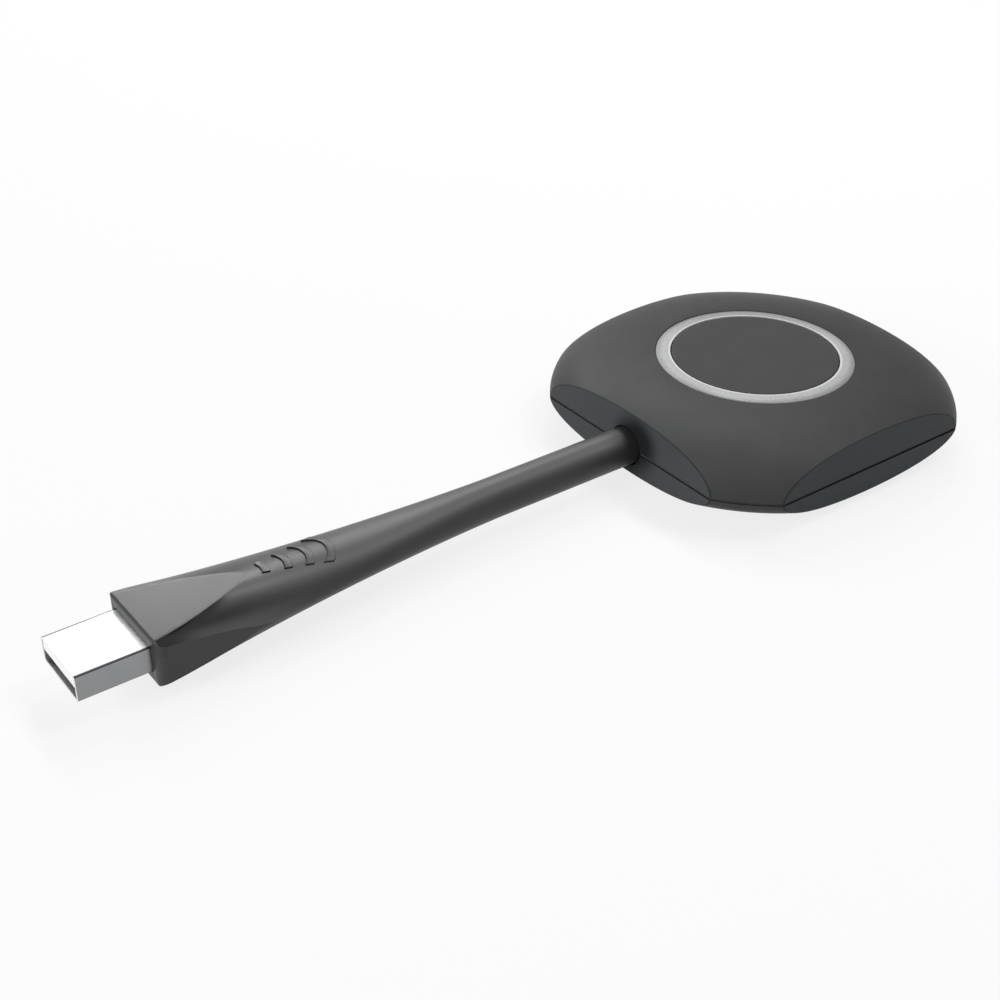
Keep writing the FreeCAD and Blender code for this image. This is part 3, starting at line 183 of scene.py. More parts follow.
def begin():
    """Object mode with nothing selected."""
    if bpy.context.object and bpy.context.object.mode != "OBJECT":
        bpy.ops.object.mode_set(mode="OBJECT")
    bpy.ops.object.select_all(action="DESELECT")


def only(piece):
    """Object mode with one piece selected and active."""
    begin()
    piece.select_set(True)
    bpy.context.view_layer.objects.active = piece


def named(name):
    """Names the piece that was just added, and its mesh."""
    piece = bpy.context.object
    piece.name = piece.data.name = name
    return piece


def loft(name, rings, closed=False, filled=False):
    """A skin through rings of places in millimetres, extruded from each ring to the next."""
    begin()
    bpy.ops.mesh.primitive_circle_add(vertices=len(rings[0]), radius=MM)
    piece = named(name)
    bpy.ops.object.mode_set(mode="EDIT")
    bpy.ops.mesh.select_mode(type="VERT")
    bpy.ops.mesh.select_all(action="SELECT")
    if filled:
        bpy.ops.mesh.edge_face_add()
        bpy.ops.mesh.select_all(action="SELECT")
    cage = bmesh.from_edit_mesh(piece.data)
    order = list(range(len(cage.verts)))
    cage.verts.ensure_lookup_table()
    for index, place in zip(order, rings[0]):
        cage.verts[index].co = Vector(place) * MM
    for ring in rings[1:]:
        count = len(cage.verts)
        bpy.ops.mesh.extrude_edges_move()
        cage = bmesh.from_edit_mesh(piece.data)
        cage.verts.ensure_lookup_table()
        follow = {}
        for vertex in cage.verts[count:]:
            for edge in vertex.link_edges:
                before = edge.other_vert(vertex).index
                if before < count:
                    follow[before] = vertex.index
        order = [follow[index] for index in order]
        for index, place in zip(order, ring):
            cage.verts[index].co = Vector(place) * MM
    if filled:
        bpy.ops.mesh.edge_face_add()
    bpy.ops.mesh.select_all(action="SELECT")
    if closed:
        bpy.ops.mesh.remove_doubles(threshold=0.0001 * MM)
    bpy.ops.mesh.normals_make_consistent(inside=False)
    bpy.ops.object.mode_set(mode="OBJECT")
    return piece


def turned(name, profile, steps, closed=False):
    """Spins a profile of radii and heights in millimetres round the puck's axis."""
    begin()
    bpy.ops.mesh.primitive_plane_add(size=MM)
    piece = named(name)
    bpy.ops.object.mode_set(mode="EDIT")
    bpy.ops.mesh.select_all(action="SELECT")
    bpy.ops.mesh.merge(type="CENTER")
    last = profile[0]
    bpy.ops.transform.translate(value=(last[0] * MM, 0, last[1] * MM))
    for point in profile[1:]:
        step = ((point[0] - last[0]) * MM, 0, (point[1] - last[1]) * MM)
        bpy.ops.mesh.extrude_vertices_move(TRANSFORM_OT_translate={"value": step})
        last = point
    if closed:
        bpy.ops.mesh.select_mode(type="VERT")
        cage = bmesh.from_edit_mesh(piece.data)
        for vertex in cage.verts:
            vertex.select = len(vertex.link_edges) == 1
        cage.select_flush_mode()
        bpy.ops.mesh.edge_face_add()
    bpy.ops.mesh.select_all(action="SELECT")
    bpy.ops.mesh.spin(steps=steps, angle=math.tau, center=(0, 0, 0), axis=(0, 0, 1))
    bpy.ops.mesh.select_all(action="SELECT")
    bpy.ops.mesh.remove_doubles(threshold=0.001 * MM)
    bpy.ops.mesh.normals_make_consistent(inside=False)
    bpy.ops.object.mode_set(mode="OBJECT")
    return piece


def block(name, low, high, soft=0.0):
    """A box between two corners in millimetres, with softened edges."""
    begin()
    middle = [(a + b) / 2 * MM for a, b in zip(low, high)]
    bpy.ops.mesh.primitive_cube_add(size=1, location=middle)
    piece = named(name)
    piece.scale = [(b - a) * MM for a, b in zip(low, high)]
    bpy.ops.object.transform_apply(location=True, rotation=True, scale=True)
    if soft:
        bpy.ops.object.mode_set(mode="EDIT")
        bpy.ops.mesh.select_all(action="SELECT")
        bpy.ops.mesh.bevel(offset=soft * MM, segments=3, affect="EDGES")
        bpy.ops.object.mode_set(mode="OBJECT")
    return piece


def rod(name, radius, low, high, sides=48):
    """An upright cylinder on the puck's axis, between two heights in millimetres."""
    begin()
    bpy.ops.mesh.primitive_cylinder_add(vertices=sides, radius=radius * MM, depth=(high - low) * MM,
                                        location=(0, 0, (low + high) / 2 * MM))
    piece = named(name)
    bpy.ops.object.transform_apply(location=True, rotation=True, scale=True)
    return piece


def moved(x, y, degrees=0.0):
    """A turn about the puck's axis, and then a move in millimetres."""
    return Matrix.Translation((x * MM, y * MM, 0)) @ Matrix.Rotation(math.radians(degrees), 4, "Z")


def repeated(piece, moves):
    """A copy of a piece for each move, each with its own mesh. The piece itself is used up."""
    copies = []
    for move in moves:
        copy = piece.copy()
        copy.data = piece.data.copy()
        copy.data.transform(move)
        bpy.context.collection.objects.link(copy)
        copies.append(copy)
    bpy.data.objects.remove(piece)
    return copies


def at_screws(piece, degrees=(0, 0, 0, 0)):
    """Copies of a piece at the places of the four shell screws."""
    places = [(a * SCREW_PLACE, b * SCREW_PLACE) for a in (1, -1) for b in (1, -1)]
    return repeated(piece, [moved(x, y, turn) for (x, y), turn in zip(places, degrees)])


def joined(pieces):
    """Joins pieces into the first of them."""
    begin()
    for piece in pieces:
        piece.select_set(True)
    bpy.context.view_layer.objects.active = pieces[0]
    if len(pieces) > 1:
        bpy.ops.object.join()
    return pieces[0]


def combine(piece, tools, operation):
    """Applies a Boolean with the tools, which are used up."""
    tool = joined(tools)
    only(piece)
    modifier = piece.modifiers.new(operation.lower(), "BOOLEAN")
    modifier.operation = operation
    modifier.object = tool
    modifier.solver = "EXACT"
    bpy.ops.object.modifier_apply(modifier=modifier.name)
    bpy.data.objects.remove(tool)
    return piece


def finished(piece, body, nodes, material, angle=28):
    """Cleans and smooths a piece, gives it its finish, and puts it in place of its CAD nodes."""
    only(piece)
    bpy.ops.object.mode_set(mode="EDIT")
    bpy.ops.mesh.select_all(action="SELECT")
    bpy.ops.mesh.dissolve_degenerate(threshold=0.001 * MM)
    bpy.ops.object.mode_set(mode="OBJECT")
    bpy.ops.object.shade_smooth_by_angle(angle=math.radians(angle))
    piece.data.materials.clear()
    piece.data.materials.append(material)
    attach(piece, body)
    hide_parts(*nodes)
    return piece


def arc(middle, radius, start, end, steps):
    """Places on an arc, angles in degrees."""
    for i in range(steps + 1):
        angle = math.radians(start + (end - start) * i / steps)
        yield (middle[0] + radius * math.cos(angle), middle[1] + radius * math.sin(angle))


def soft_least(a, b, soft):
    """The lesser of two, rounded off where they are close."""
    near = max(soft - abs(a - b), 0) / soft
    return min(a, b) - near * near * soft / 4


def soft_most(a, b, soft):
    """The greater of two, rounded off where they are close."""
    return -soft_least(-a, -b, soft)


def share_of(value, start, end):
    """0 at start and 1 at end, and no less or more past them."""
    return max(0.0, min(1.0, (value - start) / (end - start)))


def smooth(value, start, end):
    """0 at start and 1 at end, eased at both."""
    share = share_of(value, start, end)
    return share * share * (3 - 2 * share)


# The puck

def rise(radius, rim, height):
    """Height of a dome over its seam at a radius."""
    return height * math.sqrt(max(0.0, 1 - (radius / rim) ** 4))


def girth(level, rim, height):
    """Radius of a dome at a height over its seam."""
    return rim * (1 - (level / height) ** 2) ** 0.25


def polar(radius, angle, height):
    """A place at an angle round the puck."""
    return (radius * math.cos(angle), radius * math.sin(angle), height)


def spokes():
    """Angles round the puck, closer together at the eight corners of its outline."""
    steps, cleared = 240, 1.0
    beside = (0.07, 0.2, 0.38, 0.6, 0.9)
    corner = math.degrees(math.acos(FLAT / RIM))
    corners = [quarter * 90 + side * corner for quarter in range(4) for side in (1, -1)]
    plain = [360 * i / steps for i in range(steps)]
    plain = [a for a in plain if all(abs((a - c + 180) % 360 - 180) > cleared for c in corners)]
    fine = [c + side * turn for c in corners for side in (1, -1) for turn in beside]
    return [math.radians(a) for a in sorted(a % 360 for a in plain + fine)]


def outline(angle, inset):
    """Radius of the puck's outline, moved inwards by the inset."""
    flat = (FLAT - inset) / max(abs(math.cos(angle)), abs(math.sin(angle)))
    return soft_least(RIM - inset, flat, CORNER_SOFT)


def level_ring(height, inset):
    """The puck's outline at one height."""
    return [polar(outline(a, inset), a, height) for a in spokes()]


def round_ring(radius, height):
    """A circle with the outline's angles."""
    return [polar(radius, a, height) for a in spokes()]


def on_skin(place, height, soft):
    """Moves a place onto the outer skin, whose facets meet the dome in soft edges."""
    def depth(x, y, z):
        """How far a place is outside the skin, about."""
        radius = math.hypot(x, y)
        value = ((z - SEAM) / height) ** 2 + (radius / RIM) ** 4 - 1
        slope = math.hypot(2 * (z - SEAM) / height ** 2, 4 * radius ** 3 / RIM ** 4)
        return soft_most(value / slope, soft_most(abs(x) - FLAT, abs(y) - FLAT, soft), soft)
    x, y, z = place
    tiny, rounds = 1e-4, 4
    for _ in range(rounds):
        here = depth(x, y, z)
        slope = [(depth(x + tiny, y, z) - here) / tiny, (depth(x, y + tiny, z) - here) / tiny,
                 (depth(x, y, z + tiny) - here) / tiny]
        size = sum(s * s for s in slope)
        x, y, z = (v - here * s / size for v, s in zip((x, y, z), slope))
    return (x, y, z)


def skin_rings(side, height, inner):
    """Rings of one half's outer skin, from an inner radius out to the facets and on to the seam groove."""
    soft = sizes().facet_edge / MM
    soft_band = 1.2
    reach = DOME_STEPS[0]
    angles = spokes()
    borders = [min(outline(a, 0), girth(BRIM, RIM, height)) for a in angles]
    rings = []
    for step in DOME_STEPS:
        ring = []
        for angle, border in zip(angles, borders):
            stretch = (border - inner) / reach
            radius = border - step * (1 + (stretch - 1) * step / reach)
            place = polar(radius, angle, SEAM + side * rise(radius, RIM, height))
            ring.append(on_skin(place, height, soft) if step < soft_band else place)
        rings.append(ring)
    tops = [rise(border, RIM, height) for border in borders]
    levels = [[top - drop * min(1, top / BRIM) for top in tops] for drop in SIDE_DROPS]
    starts, stop = levels[-1], groove() / 2
    for i in range(1, SIDE_STEPS + 1):
        levels.append([start + (stop - start) * (i / SIDE_STEPS) for start in starts])
    for row in levels:
        places = [polar(min(outline(a, 0), girth(level, RIM, height)), a, SEAM + side * level)
                  for a, level in zip(angles, row)]
        rings.append([on_skin(place, height, soft) for place in places])
    rings[-1] = [(x, y, SEAM + side * stop) for x, y, _ in rings[-1]]
    return rings


def hollow_rings(side, height, inner, start):
    """Rings inside one half, from the lip in to a radius."""
    rim = RIM - WALL
    angles = spokes()
    borders = [min(outline(a, WALL), girth(BRIM, rim, height)) for a in angles]
    rings = [level_ring(start, WALL)]
    for share in (0.0, 0.35, 0.7, 1.0):
        levels = [rise(border, rim, height) * share for border in borders]
        rings.append([polar(min(outline(a, WALL), girth(level, rim, height)), a, SEAM + side * level)
                      for a, level in zip(angles, levels)])
    for share in (0.06, 0.15, 0.28, 0.45, 0.7, 1.0):
        radii = [border + (inner - border) * share for border in borders]
        rings.append([polar(r, a, SEAM + side * rise(r, rim, height)) for a, r in zip(angles, radii)])
    return rings


def stem_hole():
    """A cutter for the round hole that the stem enters, flared at the facet."""
    sides = 96
    angles = [math.tau * i / sides for i in range(sides)]
    rings = []
    for radius, y in ((3.75, -28.5), (3.75, -30.86), (3.79, -30.95), (3.87, -31.02), (4.3, -31.5)):
        rings.append([(radius * math.cos(a), y, SEAM + radius * math.sin(a)) for a in angles])
    return loft("stem_way", rings, filled=True)


def screw_sink():
    """A cutter for a screw's sink and the narrower hole above it."""
    sink, hole, seat, end = 2.05, 1.1, 2.7, 6.0
    return turned("sink", [(0, 0), (sink, 0), (sink, seat), (hole, seat), (hole, end), (0, end)], 40)


class DONGLE_OT_top_shell(bpy.types.Operator):
    """Top shell: dome, four facets, ring opening, lip, screw pillars"""
    bl_idname = "dongle.top_shell"
    bl_label = "Top Shell"

    def execute(self, context):
        edge = 0.22
        mouth = RING_HOLE + edge
        peak = SEAM + rise(mouth, RIM, CROWN)
        inset = sizes().seam_depth / MM
        rings = [round_ring(r, z) for r, z in arc((mouth, peak - edge), edge, 180, 100, 5)]
        rings += skin_rings(1, CROWN, mouth)
        rings += [level_ring(SEAM + groove() / 2, inset), level_ring(SEAM, inset)]
        rings += [level_ring(SEAM, LIP), level_ring(SEAM - LIP, LIP)]
        rings += hollow_rings(1, CROWN - WALL, STEP_HOLE, SEAM - LIP)
        rings += [round_ring(STEP_HOLE, RING_STEP), round_ring(RING_HOLE, RING_STEP), rings[0]]
        shell = loft("shell_top", rings, closed=True)
        under_dome, below, deep = 13.0, PILLAR_END - 0.4, PILLAR_END + 5.4
        combine(shell, at_screws(rod("pillar", PILLAR, PILLAR_END, under_dome)), "UNION")
        combine(shell, at_screws(rod("pilot", PILOT, below, deep, 24)) + [stem_hole()], "DIFFERENCE")
        finished(shell, "housing", ["top_shell"], finish("shell_black_matt", shell_plastic))
        return {"FINISHED"}


class DONGLE_OT_bottom_shell(bpy.types.Operator):
    """Bottom shell: lower dome and facets, foot recess, screw sinks, cable saddle"""
    bl_idname = "dongle.bottom_shell"
    bl_label = "Bottom Shell"

    def execute(self, context):
        recess, lip, step = 0.5, 1.1, 1.3
        floor = UNDERSIDE + 1.8
        inset = sizes().seam_depth / MM
        rings = [round_ring(FOOT_RECESS + out, UNDERSIDE + up)
                 for out, up in ((0, recess), (0, 0.1), (0.03, 0.03), (0.1, 0))]
        rings += skin_rings(-1, BASE, girth(SEAM - UNDERSIDE, RIM, BASE))
        rings += [level_ring(SEAM - groove() / 2, inset), level_ring(SEAM, inset)]
        rings += [level_ring(SEAM, lip), level_ring(SEAM - step, lip)]
        inside = hollow_rings(-1, BASE - WALL, girth(SEAM - floor, RIM - WALL, BASE - WALL), SEAM - step)
        rings += [inside[0]] + inside[3:]
        shell = loft("shell_base", rings, filled=True)
        low, post, post_end, board = 1.6, 1.9, 4.8, 22.6
        places = [moved(*place) for place in arc((0, 0), board, 90, 330, 2)]
        supports = repeated(rod("post", post, low, post_end), places)
        supports.append(block("saddle", (-7.7, -27.0, low), (7.7, -21.8, 6.55)))
        combine(shell, at_screws(rod("sleeve", PILLAR, low, PILLAR_END)) + supports, "UNION")
        combine(shell, at_screws(screw_sink()) + [stem_hole()], "DIFFERENCE")
        finished(shell, "housing", ["bottom_shell"], finish("shell_black_matt", shell_plastic))
        return {"FINISHED"}


class DONGLE_OT_light_ring(bpy.types.Operator):
    """Frosted light ring with its flange"""
    bl_idname = "dongle.light_ring"
    bl_label = "Light Ring"

    def execute(self, context):
        edge, flange, base = 18.42, 20.1, 12.2
        drop, bend, points = 0.3, 2.74, 10
        outer, inner = 0.16, 0.12
        profile = [(RING_INNER, base), (flange, base), (flange, RING_STEP), (edge, RING_STEP),
                   (edge, TOP - drop - outer)]
        profile += list(arc((edge - outer, TOP - drop - 0.10), outer, 0, 60, 4))[1:]
        for i in range(1, points + 1):
            along = 1 - i / points * 0.95 - 0.045
            profile.append((RING_INNER + (edge - RING_INNER) * along, TOP - drop * along ** bend))
        profile += list(arc((RING_INNER + inner, TOP - inner), inner, 90, 180, 4))[1:]
        ring = turned("ring", profile, 256, closed=True)
        finished(ring, "housing", ["light_ring"], finish("ring_frosted_clear", frosted))
        return {"FINISHED"}


class DONGLE_OT_button(bpy.types.Operator):
    """Round button with its skirt, boss and four hooked legs"""
    bl_idname = "dongle.button"
    bl_label = "Button"

    def execute(self, context):
        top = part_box("button_cap")[1].z / MM
        under, skirt, edge = top - 1.5, top - 3.8, 0.15
        boss, boss_end, inside = 2.0, under - 3.28, 14.3
        profile = [(0, boss_end), (boss, boss_end), (boss, under)]
        profile += [(inside, under), (inside, skirt), (BUTTON, skirt)]
        profile += list(arc((BUTTON - edge, top - edge), edge, 0, 90, 5))
        profile += [(radius, top) for radius in (14.6, 12, 8, 4, 0)]
        cap = turned("cap", profile, 192)
        half, low, soft = 1.6, 8.35, 0.12
        leg = block("leg", (10.6, -half, low), (11.8, half, under + 0.5), soft)
        combine(leg, [block("toe", (10.9, -half, low), (12.6, half, 9.15), soft)], "UNION")
        combine(cap, repeated(leg, [moved(0, 0, 90 * quarter) for quarter in range(4)]), "UNION")
        finished(cap, "button", ["button_cap"],
                 finish("button_black_matt", moulded, colour("button"), 0.38, specular=0.06))
        return {"FINISHED"}


# The tail

def oval(along, grow=0.0):
    """Half width and half height of the grip's oval, at a distance behind the front face."""
    wider, taller, fall = 7.45, 1.95, 13.0
    share = min(along / TAPER, 1.0)
    wide = STEM + wider * (1 - share) ** 1.4
    high = STEM + taller * (1 - share ** 2) / (1 + (along / fall) ** 2)
    return wide + grow, high + grow


def crest(x, along, grow):
    """Height of the grip's oval over its axis at a place."""
    wide, high = oval(along, grow)
    return high * math.sqrt(max(0.0, 1 - (x / wide) ** 2))


def rounded_off(along, radius):
    """How far a rounding stands back, at a distance from where it starts."""
    return radius - math.sqrt(radius ** 2 - (radius - along) ** 2) if along < radius else 0.0


def slow_end(share):
    """An ease that slows down towards 1."""
    return math.sin(math.pi / 2 * share)


def slow_ends(share):
    """An ease that is slow near both 0 and 1."""
    return (1 - math.cos(math.pi * share)) / 2


def crowded(low, high, steps, ease):
    """Numbers from low towards high, closer together where the ease is slow."""
    crowd = 0.75
    shares = [i / steps for i in range(steps)]
    return [low + (high - low) * (share + (ease(share) - share) * crowd) for share in shares]


def around(top, side):
    """Angles round a section, whose creases are at the angles top and side of each quarter."""
    square = math.pi / 2
    angles = []
    for quarter in range(4):
        first, second, steps = side, top, (8, 26, 9)
        if quarter % 2:
            first, second, steps = square - top, square - side, (9, 26, 8)
        low = crowded(0, first, steps[0], slow_end)
        middle = crowded(first, second, steps[1], slow_ends)
        high = crowded(square, second, steps[2], slow_end)
        angles += [quarter * square + a for a in low + middle + [second] + high[:0:-1]]
    return angles


def section(angles, y, radius_at):
    """One ring of the tail. Its radius comes from the sizes of an angle's cosine and sine."""
    ring = []
    for angle in angles:
        radius = radius_at(max(abs(math.cos(angle)), 1e-6), max(abs(math.sin(angle)), 1e-6))
        ring.append((radius * math.cos(angle), y, SEAM + radius * math.sin(angle)))
    return ring


def grip_section(along):
    """An oval cut by the grip's flats, with slightly hollow flanks between them."""
    wide, high = oval(along)
    x = HALF_GRIP[0] - rounded_off(along, GRIP_CORNER)
    z = HALF_GRIP[1] - rounded_off(along, GRIP_EDGE)
    across = wide * math.sqrt(max(0.0, 1 - (z / high) ** 2)) if high > z else 0.0
    up = high * math.sqrt(max(0.0, 1 - (x / wide) ** 2)) if wide > x else 0.0
    # Past the flats' ends the crowded angles stay, and drift apart towards the round stem's.
    margin, least = 0.3, 0.7
    relax = share_of(along, 20, 60)
    across = max(min(across, x - margin), least + 1.0 * relax)
    up = max(min(up, z - margin), least + 0.6 * relax)
    top = math.atan2(min(z, high), across)
    side = math.atan2(up, min(x, wide))
    soft = sizes().crease / MM
    hollow = HOLLOW * smooth(along, 1.0, 4.0) * smooth(along, 17.0, 7.0)

    def radius_at(cosine, sine):
        """The oval's radius less the hollow, cut by the flats."""
        radius = 1 / math.hypot(cosine / wide, sine / high)
        between = (math.atan2(sine, cosine) - side) / (top - side)
        if 0 < between < 1:
            radius -= hollow * math.sin(math.pi * between ** 1.6)
        return soft_least(soft_least(radius, z / sine, soft * 1.2), x / cosine, soft)
    return section(around(top, side), FACE + along, radius_at)


def square_section(half_wide, half_high, y, soft):
    """A rectangle with soft corners."""
    corner, beside = math.atan2(half_high, half_wide), 0.06
    return section(around(corner + beside, corner - beside), y,
                   lambda cosine, sine: soft_least(half_wide / cosine, half_high / sine, soft))


def round_section(radius, y):
    """A circle with angles that suit the stem's last ring."""
    return section(around(1.13, 0.36), y, lambda cosine, sine: radius)


def rib(index):
    """A raised arc that follows the grip's top, with ends on the wedge that frames all four."""
    relief = sizes().rib / MM
    middle = RIB_FIRST + RIB_PITCH * index - RIB_INNER
    halfway = (RIB_INNER + RIB_OUTER) / 2
    shape = [(RIB_INNER, RIB_ROOT), (RIB_INNER, relief - RIB_EDGE)]
    shape += list(arc((RIB_INNER + RIB_EDGE, relief - RIB_EDGE), RIB_EDGE, 180, 90, 3))[1:]
    shape += [(halfway, relief)]
    shape += list(arc((RIB_OUTER - RIB_EDGE, relief - RIB_EDGE), RIB_EDGE, 90, 0, 3))
    shape += [(RIB_OUTER, RIB_ROOT), (halfway, RIB_ROOT)]

    def end_angle(radius):
        """Half the angle that an arc of a radius spans within the wedge, found by halving."""
        low, high = 0.0, math.pi / 2
        for _ in range(30):
            half = (low + high) / 2
            if radius * math.sin(half) < WEDGE_SLOPE * (middle + radius * math.cos(half) - WEDGE_APEX):
                low = half
            else:
                high = half
        return low
    spans = [end_angle(radius) for radius, height in shape]
    steps = 30
    rings = []
    for i in range(steps + 1):
        share = i / steps * 2 - 1
        to_end = 1 - abs(share)
        ring = []
        for (radius, height), span in zip(shape, spans):
            angle = span * math.copysign(1 - to_end ** 1.25, share)
            x, along = radius * math.sin(angle), middle + radius * math.cos(angle)
            fall = rounded_off(to_end * span * radius, RIB_EDGE)
            lift = height - fall if height > 0 else height
            ring.append((x, FACE + along, SEAM + crest(x, along, max(lift, RIB_ROOT))))
        rings.append(ring)
    return loft(f"rib_{index}", rings, filled=True)


class DONGLE_OT_tail(bpy.types.Operator):
    """Tail moulding: grip, stem, inner flange and four raised arcs"""
    bl_idname = "dongle.tail"
    bl_label = "Tail Moulding"

    def execute(self, context):
        on_grip, on_stem, stem_end = 0.6, 4.0, 93.0
        places = [0, 0.015, 0.05, 0.1, 0.17, 0.26, 0.36, 0.48, 0.65, 0.85, 1.1, 1.4, 1.8, 2.3]
        while places[-1] < TAPER - 1.5 * on_grip:
            places.append(places[-1] + on_grip)
        places += [TAPER, TAPER + 5]
        while places[-1] < stem_end:
            places.append(places[-1] + on_stem)
        sections = [grip_section(along) for along in places]
        # The flange inside the puck, then back through the cable's bore to the pocket behind the plug.
        anchor = FACE + 97.85
        anchor_end = anchor + 1.9
        pocket, pocket_end = FACE + 0.9, FACE + 11
        sections += [round_section(STEM, anchor), square_section(*ANCHOR, anchor, 0.5),
                     square_section(*ANCHOR, anchor_end, 0.5), round_section(CABLE_BORE, anchor_end),
                     round_section(CABLE_BORE, pocket_end), square_section(*POCKET, pocket_end, 0.3),
                     square_section(*POCKET, pocket, 0.3)]
        wide, high = HALF_PLUG
        mouth = ((0.03, 0.9, 0.35), (0.03, 0.12, 0.35), (0.06, 0.03, 0.4), (0.14, 0, 0.45))
        for gap, behind, soft in mouth:
            sections.append(square_section(wide + gap, high + gap, FACE + behind, soft))
        sections.append(sections[0])
        tail = loft("tail", sections, closed=True)
        combine(tail, [rib(i) for i in range(4)], "UNION")
        rubber = finish("tail_black_satin", tail_rubber)
        finished(tail, "housing", ["tail_moulding"], rubber, 25)
        return {"FINISHED"}


# The plug

def rounded_frame(half_wide, low, high, y, corner, steps=5):
    """A ring of places round an upright rectangle with round corners."""
    places = []
    corners = ((half_wide, high, 0), (-half_wide, high, 90), (-half_wide, low, 180), (half_wide, low, 270))
    for x, z, start in corners:
        middle = (x - math.copysign(corner, x), z - (corner if z == high else -corner))
        places += [(px, y, pz) for px, pz in arc(middle, corner, start, start + 90, steps)]
    return places


class DONGLE_OT_plug(bpy.types.Operator):
    """Plug: folded steel shell with latch windows, and the tongue"""
    bl_idname = "dongle.plug"
    bl_label = "Plug"

    def execute(self, context):
        self.shell()
        self.tongue()
        return {"FINISHED"}

    def shell(self):
        """A sheet folded to a tube, with a rounded lip, a fold line and two windows underneath."""
        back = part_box("usb_shell")[1].y / MM
        wide, tall = HALF_PLUG
        bottom, top = SEAM - tall, SEAM + tall
        sheet, lip, outer, inner = 0.3, 0.07, 0.4, 0.2

        def frame_ring(inset, y, corner):
            """The plug's outline, moved inwards by the inset."""
            return rounded_frame(wide - inset, bottom + inset, top - inset, y, corner)
        rings = [frame_ring(0, back, outer), frame_ring(0, TIP + lip, outer)]
        for degrees in (30, 60, 90):
            y, x = lip * math.sin(math.radians(degrees)), lip * math.cos(math.radians(degrees))
            rings.append(frame_ring(lip - x, TIP + lip - y, outer - (lip - x)))
        for degrees in (0, 30, 60, 90):
            x, y = lip * math.sin(math.radians(degrees)), lip * math.cos(math.radians(degrees))
            rings.append(frame_ring(sheet - lip + x, TIP + lip - y, inner))
        rings += [frame_ring(sheet, back, inner), rings[0]]
        shell = loft("plug_shell", rings, closed=True)
        aside, half, start, end = 2.85, 1.15, TIP + 5.2, TIP + 7.5
        window = block("window", (-half, start, bottom - 1), (half, end, bottom + 2 * sheet))
        tools = repeated(window, [moved(side * aside, 0) for side in (1, -1)])
        line, deep = 0.04, 0.12
        tools.append(block("fold", (-line, TIP - 1, bottom - 0.2), (line, back + 1, bottom + deep)))
        combine(shell, tools, "DIFFERENCE")
        finished(shell, "housing", ["usb_shell"], finish("plug_steel_plated", plated_steel), 30)

    def tongue(self):
        """The tongue with its soft front edge, and the block that it grows from."""
        low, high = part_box("usb_tongue")
        front, back, wide, crown = low.y / MM, high.y / MM, high.x / MM, high.z / MM
        under, base, block_face, corner = crown - 1.9, low.z / MM, TIP + 9.2, 0.2
        rings = [rounded_frame(wide - inset, under + inset, crown - inset, front + y, corner)
                 for y, inset in ((0, 0.12), (0.03, 0.05), (0.12, 0.0))]
        rings += [rounded_frame(wide, bottom, crown, y, corner)
                  for bottom, y in ((under, block_face), (base, block_face), (base, back))]
        tongue = loft("tongue", rings, filled=True)
        finished(tongue, "housing", ["usb_tongue"],
                 finish("tongue_white", moulded, (0.88, 0.88, 0.87), 0.42))


# The underside

class DONGLE_OT_foot(bpy.types.Operator):
    """Anti-slip foot with fine rings"""
    bl_idname = "dongle.foot"
    bl_label = "Foot"

    def execute(self, context):
        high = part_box("foot_pad")[1]
        edge, top, soft = high.x / MM, high.z / MM, 0.25
        grooves, first, pitch, mouth, bed, deep = 5, 1.2, 1.0, 0.22, 0.12, 0.12
        profile = [(0, top), (edge, top)]
        profile += list(arc((edge - soft, soft), soft, 0, -90, 4))
        for i in range(grooves):
            place = edge - first - i * pitch
            profile += [(place + mouth, 0), (place + bed, deep), (place - bed, deep), (place - mouth, 0)]
        profile += [(radius, 0) for radius in (14.5, 10, 5, 0)]
        foot = turned("foot", profile, 192)
        finished(foot, "housing", ["foot_pad"], finish("foot_rubber_matt", foot_rubber))
        return {"FINISHED"}


class DONGLE_OT_screws(bpy.types.Operator):
    """Four shell screws with rounded heads and cross recesses"""
    bl_idname = "dongle.screws"
    bl_label = "Shell Screws"

    def execute(self, context):
        low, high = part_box("shell_screws")
        face, tip = low.z / MM, high.z / MM
        core, thread, turns, shank, runout, ridge = 0.78, 0.95, 14, 1.9, 0.7, 0.2
        head = ((0, 0), (1.3, 0), (1.6, 0.08), (1.8, 0.25), (1.9, 0.5),
                (1.9, 1.15), (1.85, 1.2), (thread, 1.2))
        profile = [(radius, face + up) for radius, up in head]
        for i in range(turns):
            z = face + shank + (tip - face - shank - runout) * i / turns
            profile += [(core, z), (thread, z + ridge)]
        profile += [(core, tip - 0.5), (0.3, tip), (0, tip)]
        screw = turned("screw", profile, 40)
        long, narrow, deep = 1.0, 0.225, 0.6
        for x, y in ((long, narrow), (narrow, long)):
            combine(screw, [block("slot", (-x, -y, face - 1), (x, y, face + deep))], "DIFFERENCE")
        screws = joined(at_screws(screw, (12, 57, 31, 78)))
        screws.name = screws.data.name = "case_screws"
        finished(screws, "housing", ["shell_screws"], finish(*inner_finishes()["screw_steel"]))
        return {"FINISHED"}


# Shader helpers

def finish(name, build, *values, **more):
    """The material of a name, built the first time that it is asked for."""
    material = bpy.data.materials.get(name)
    if material is None:
        material = bpy.data.materials.new(name)
        material.use_nodes = True
        build(material.node_tree, *values, **more)
    return material


def add(tree, kind, **settings):
    """A new node with its settings."""
    node = tree.nodes.new(kind)
    for key, value in settings.items():
        setattr(node, key, value)
    return node


def feed(tree, node, values):
    """Sets or links a node's inputs, by their names or numbers."""
    for key, value in values.items():
        if isinstance(value, bpy.types.NodeSocket):
            tree.links.new(value, node.inputs[key])
        else:
            node.inputs[key].default_value = value
    return node


def source_of(socket):
    """The output that is linked to an input."""
    return socket.links[0].from_socket


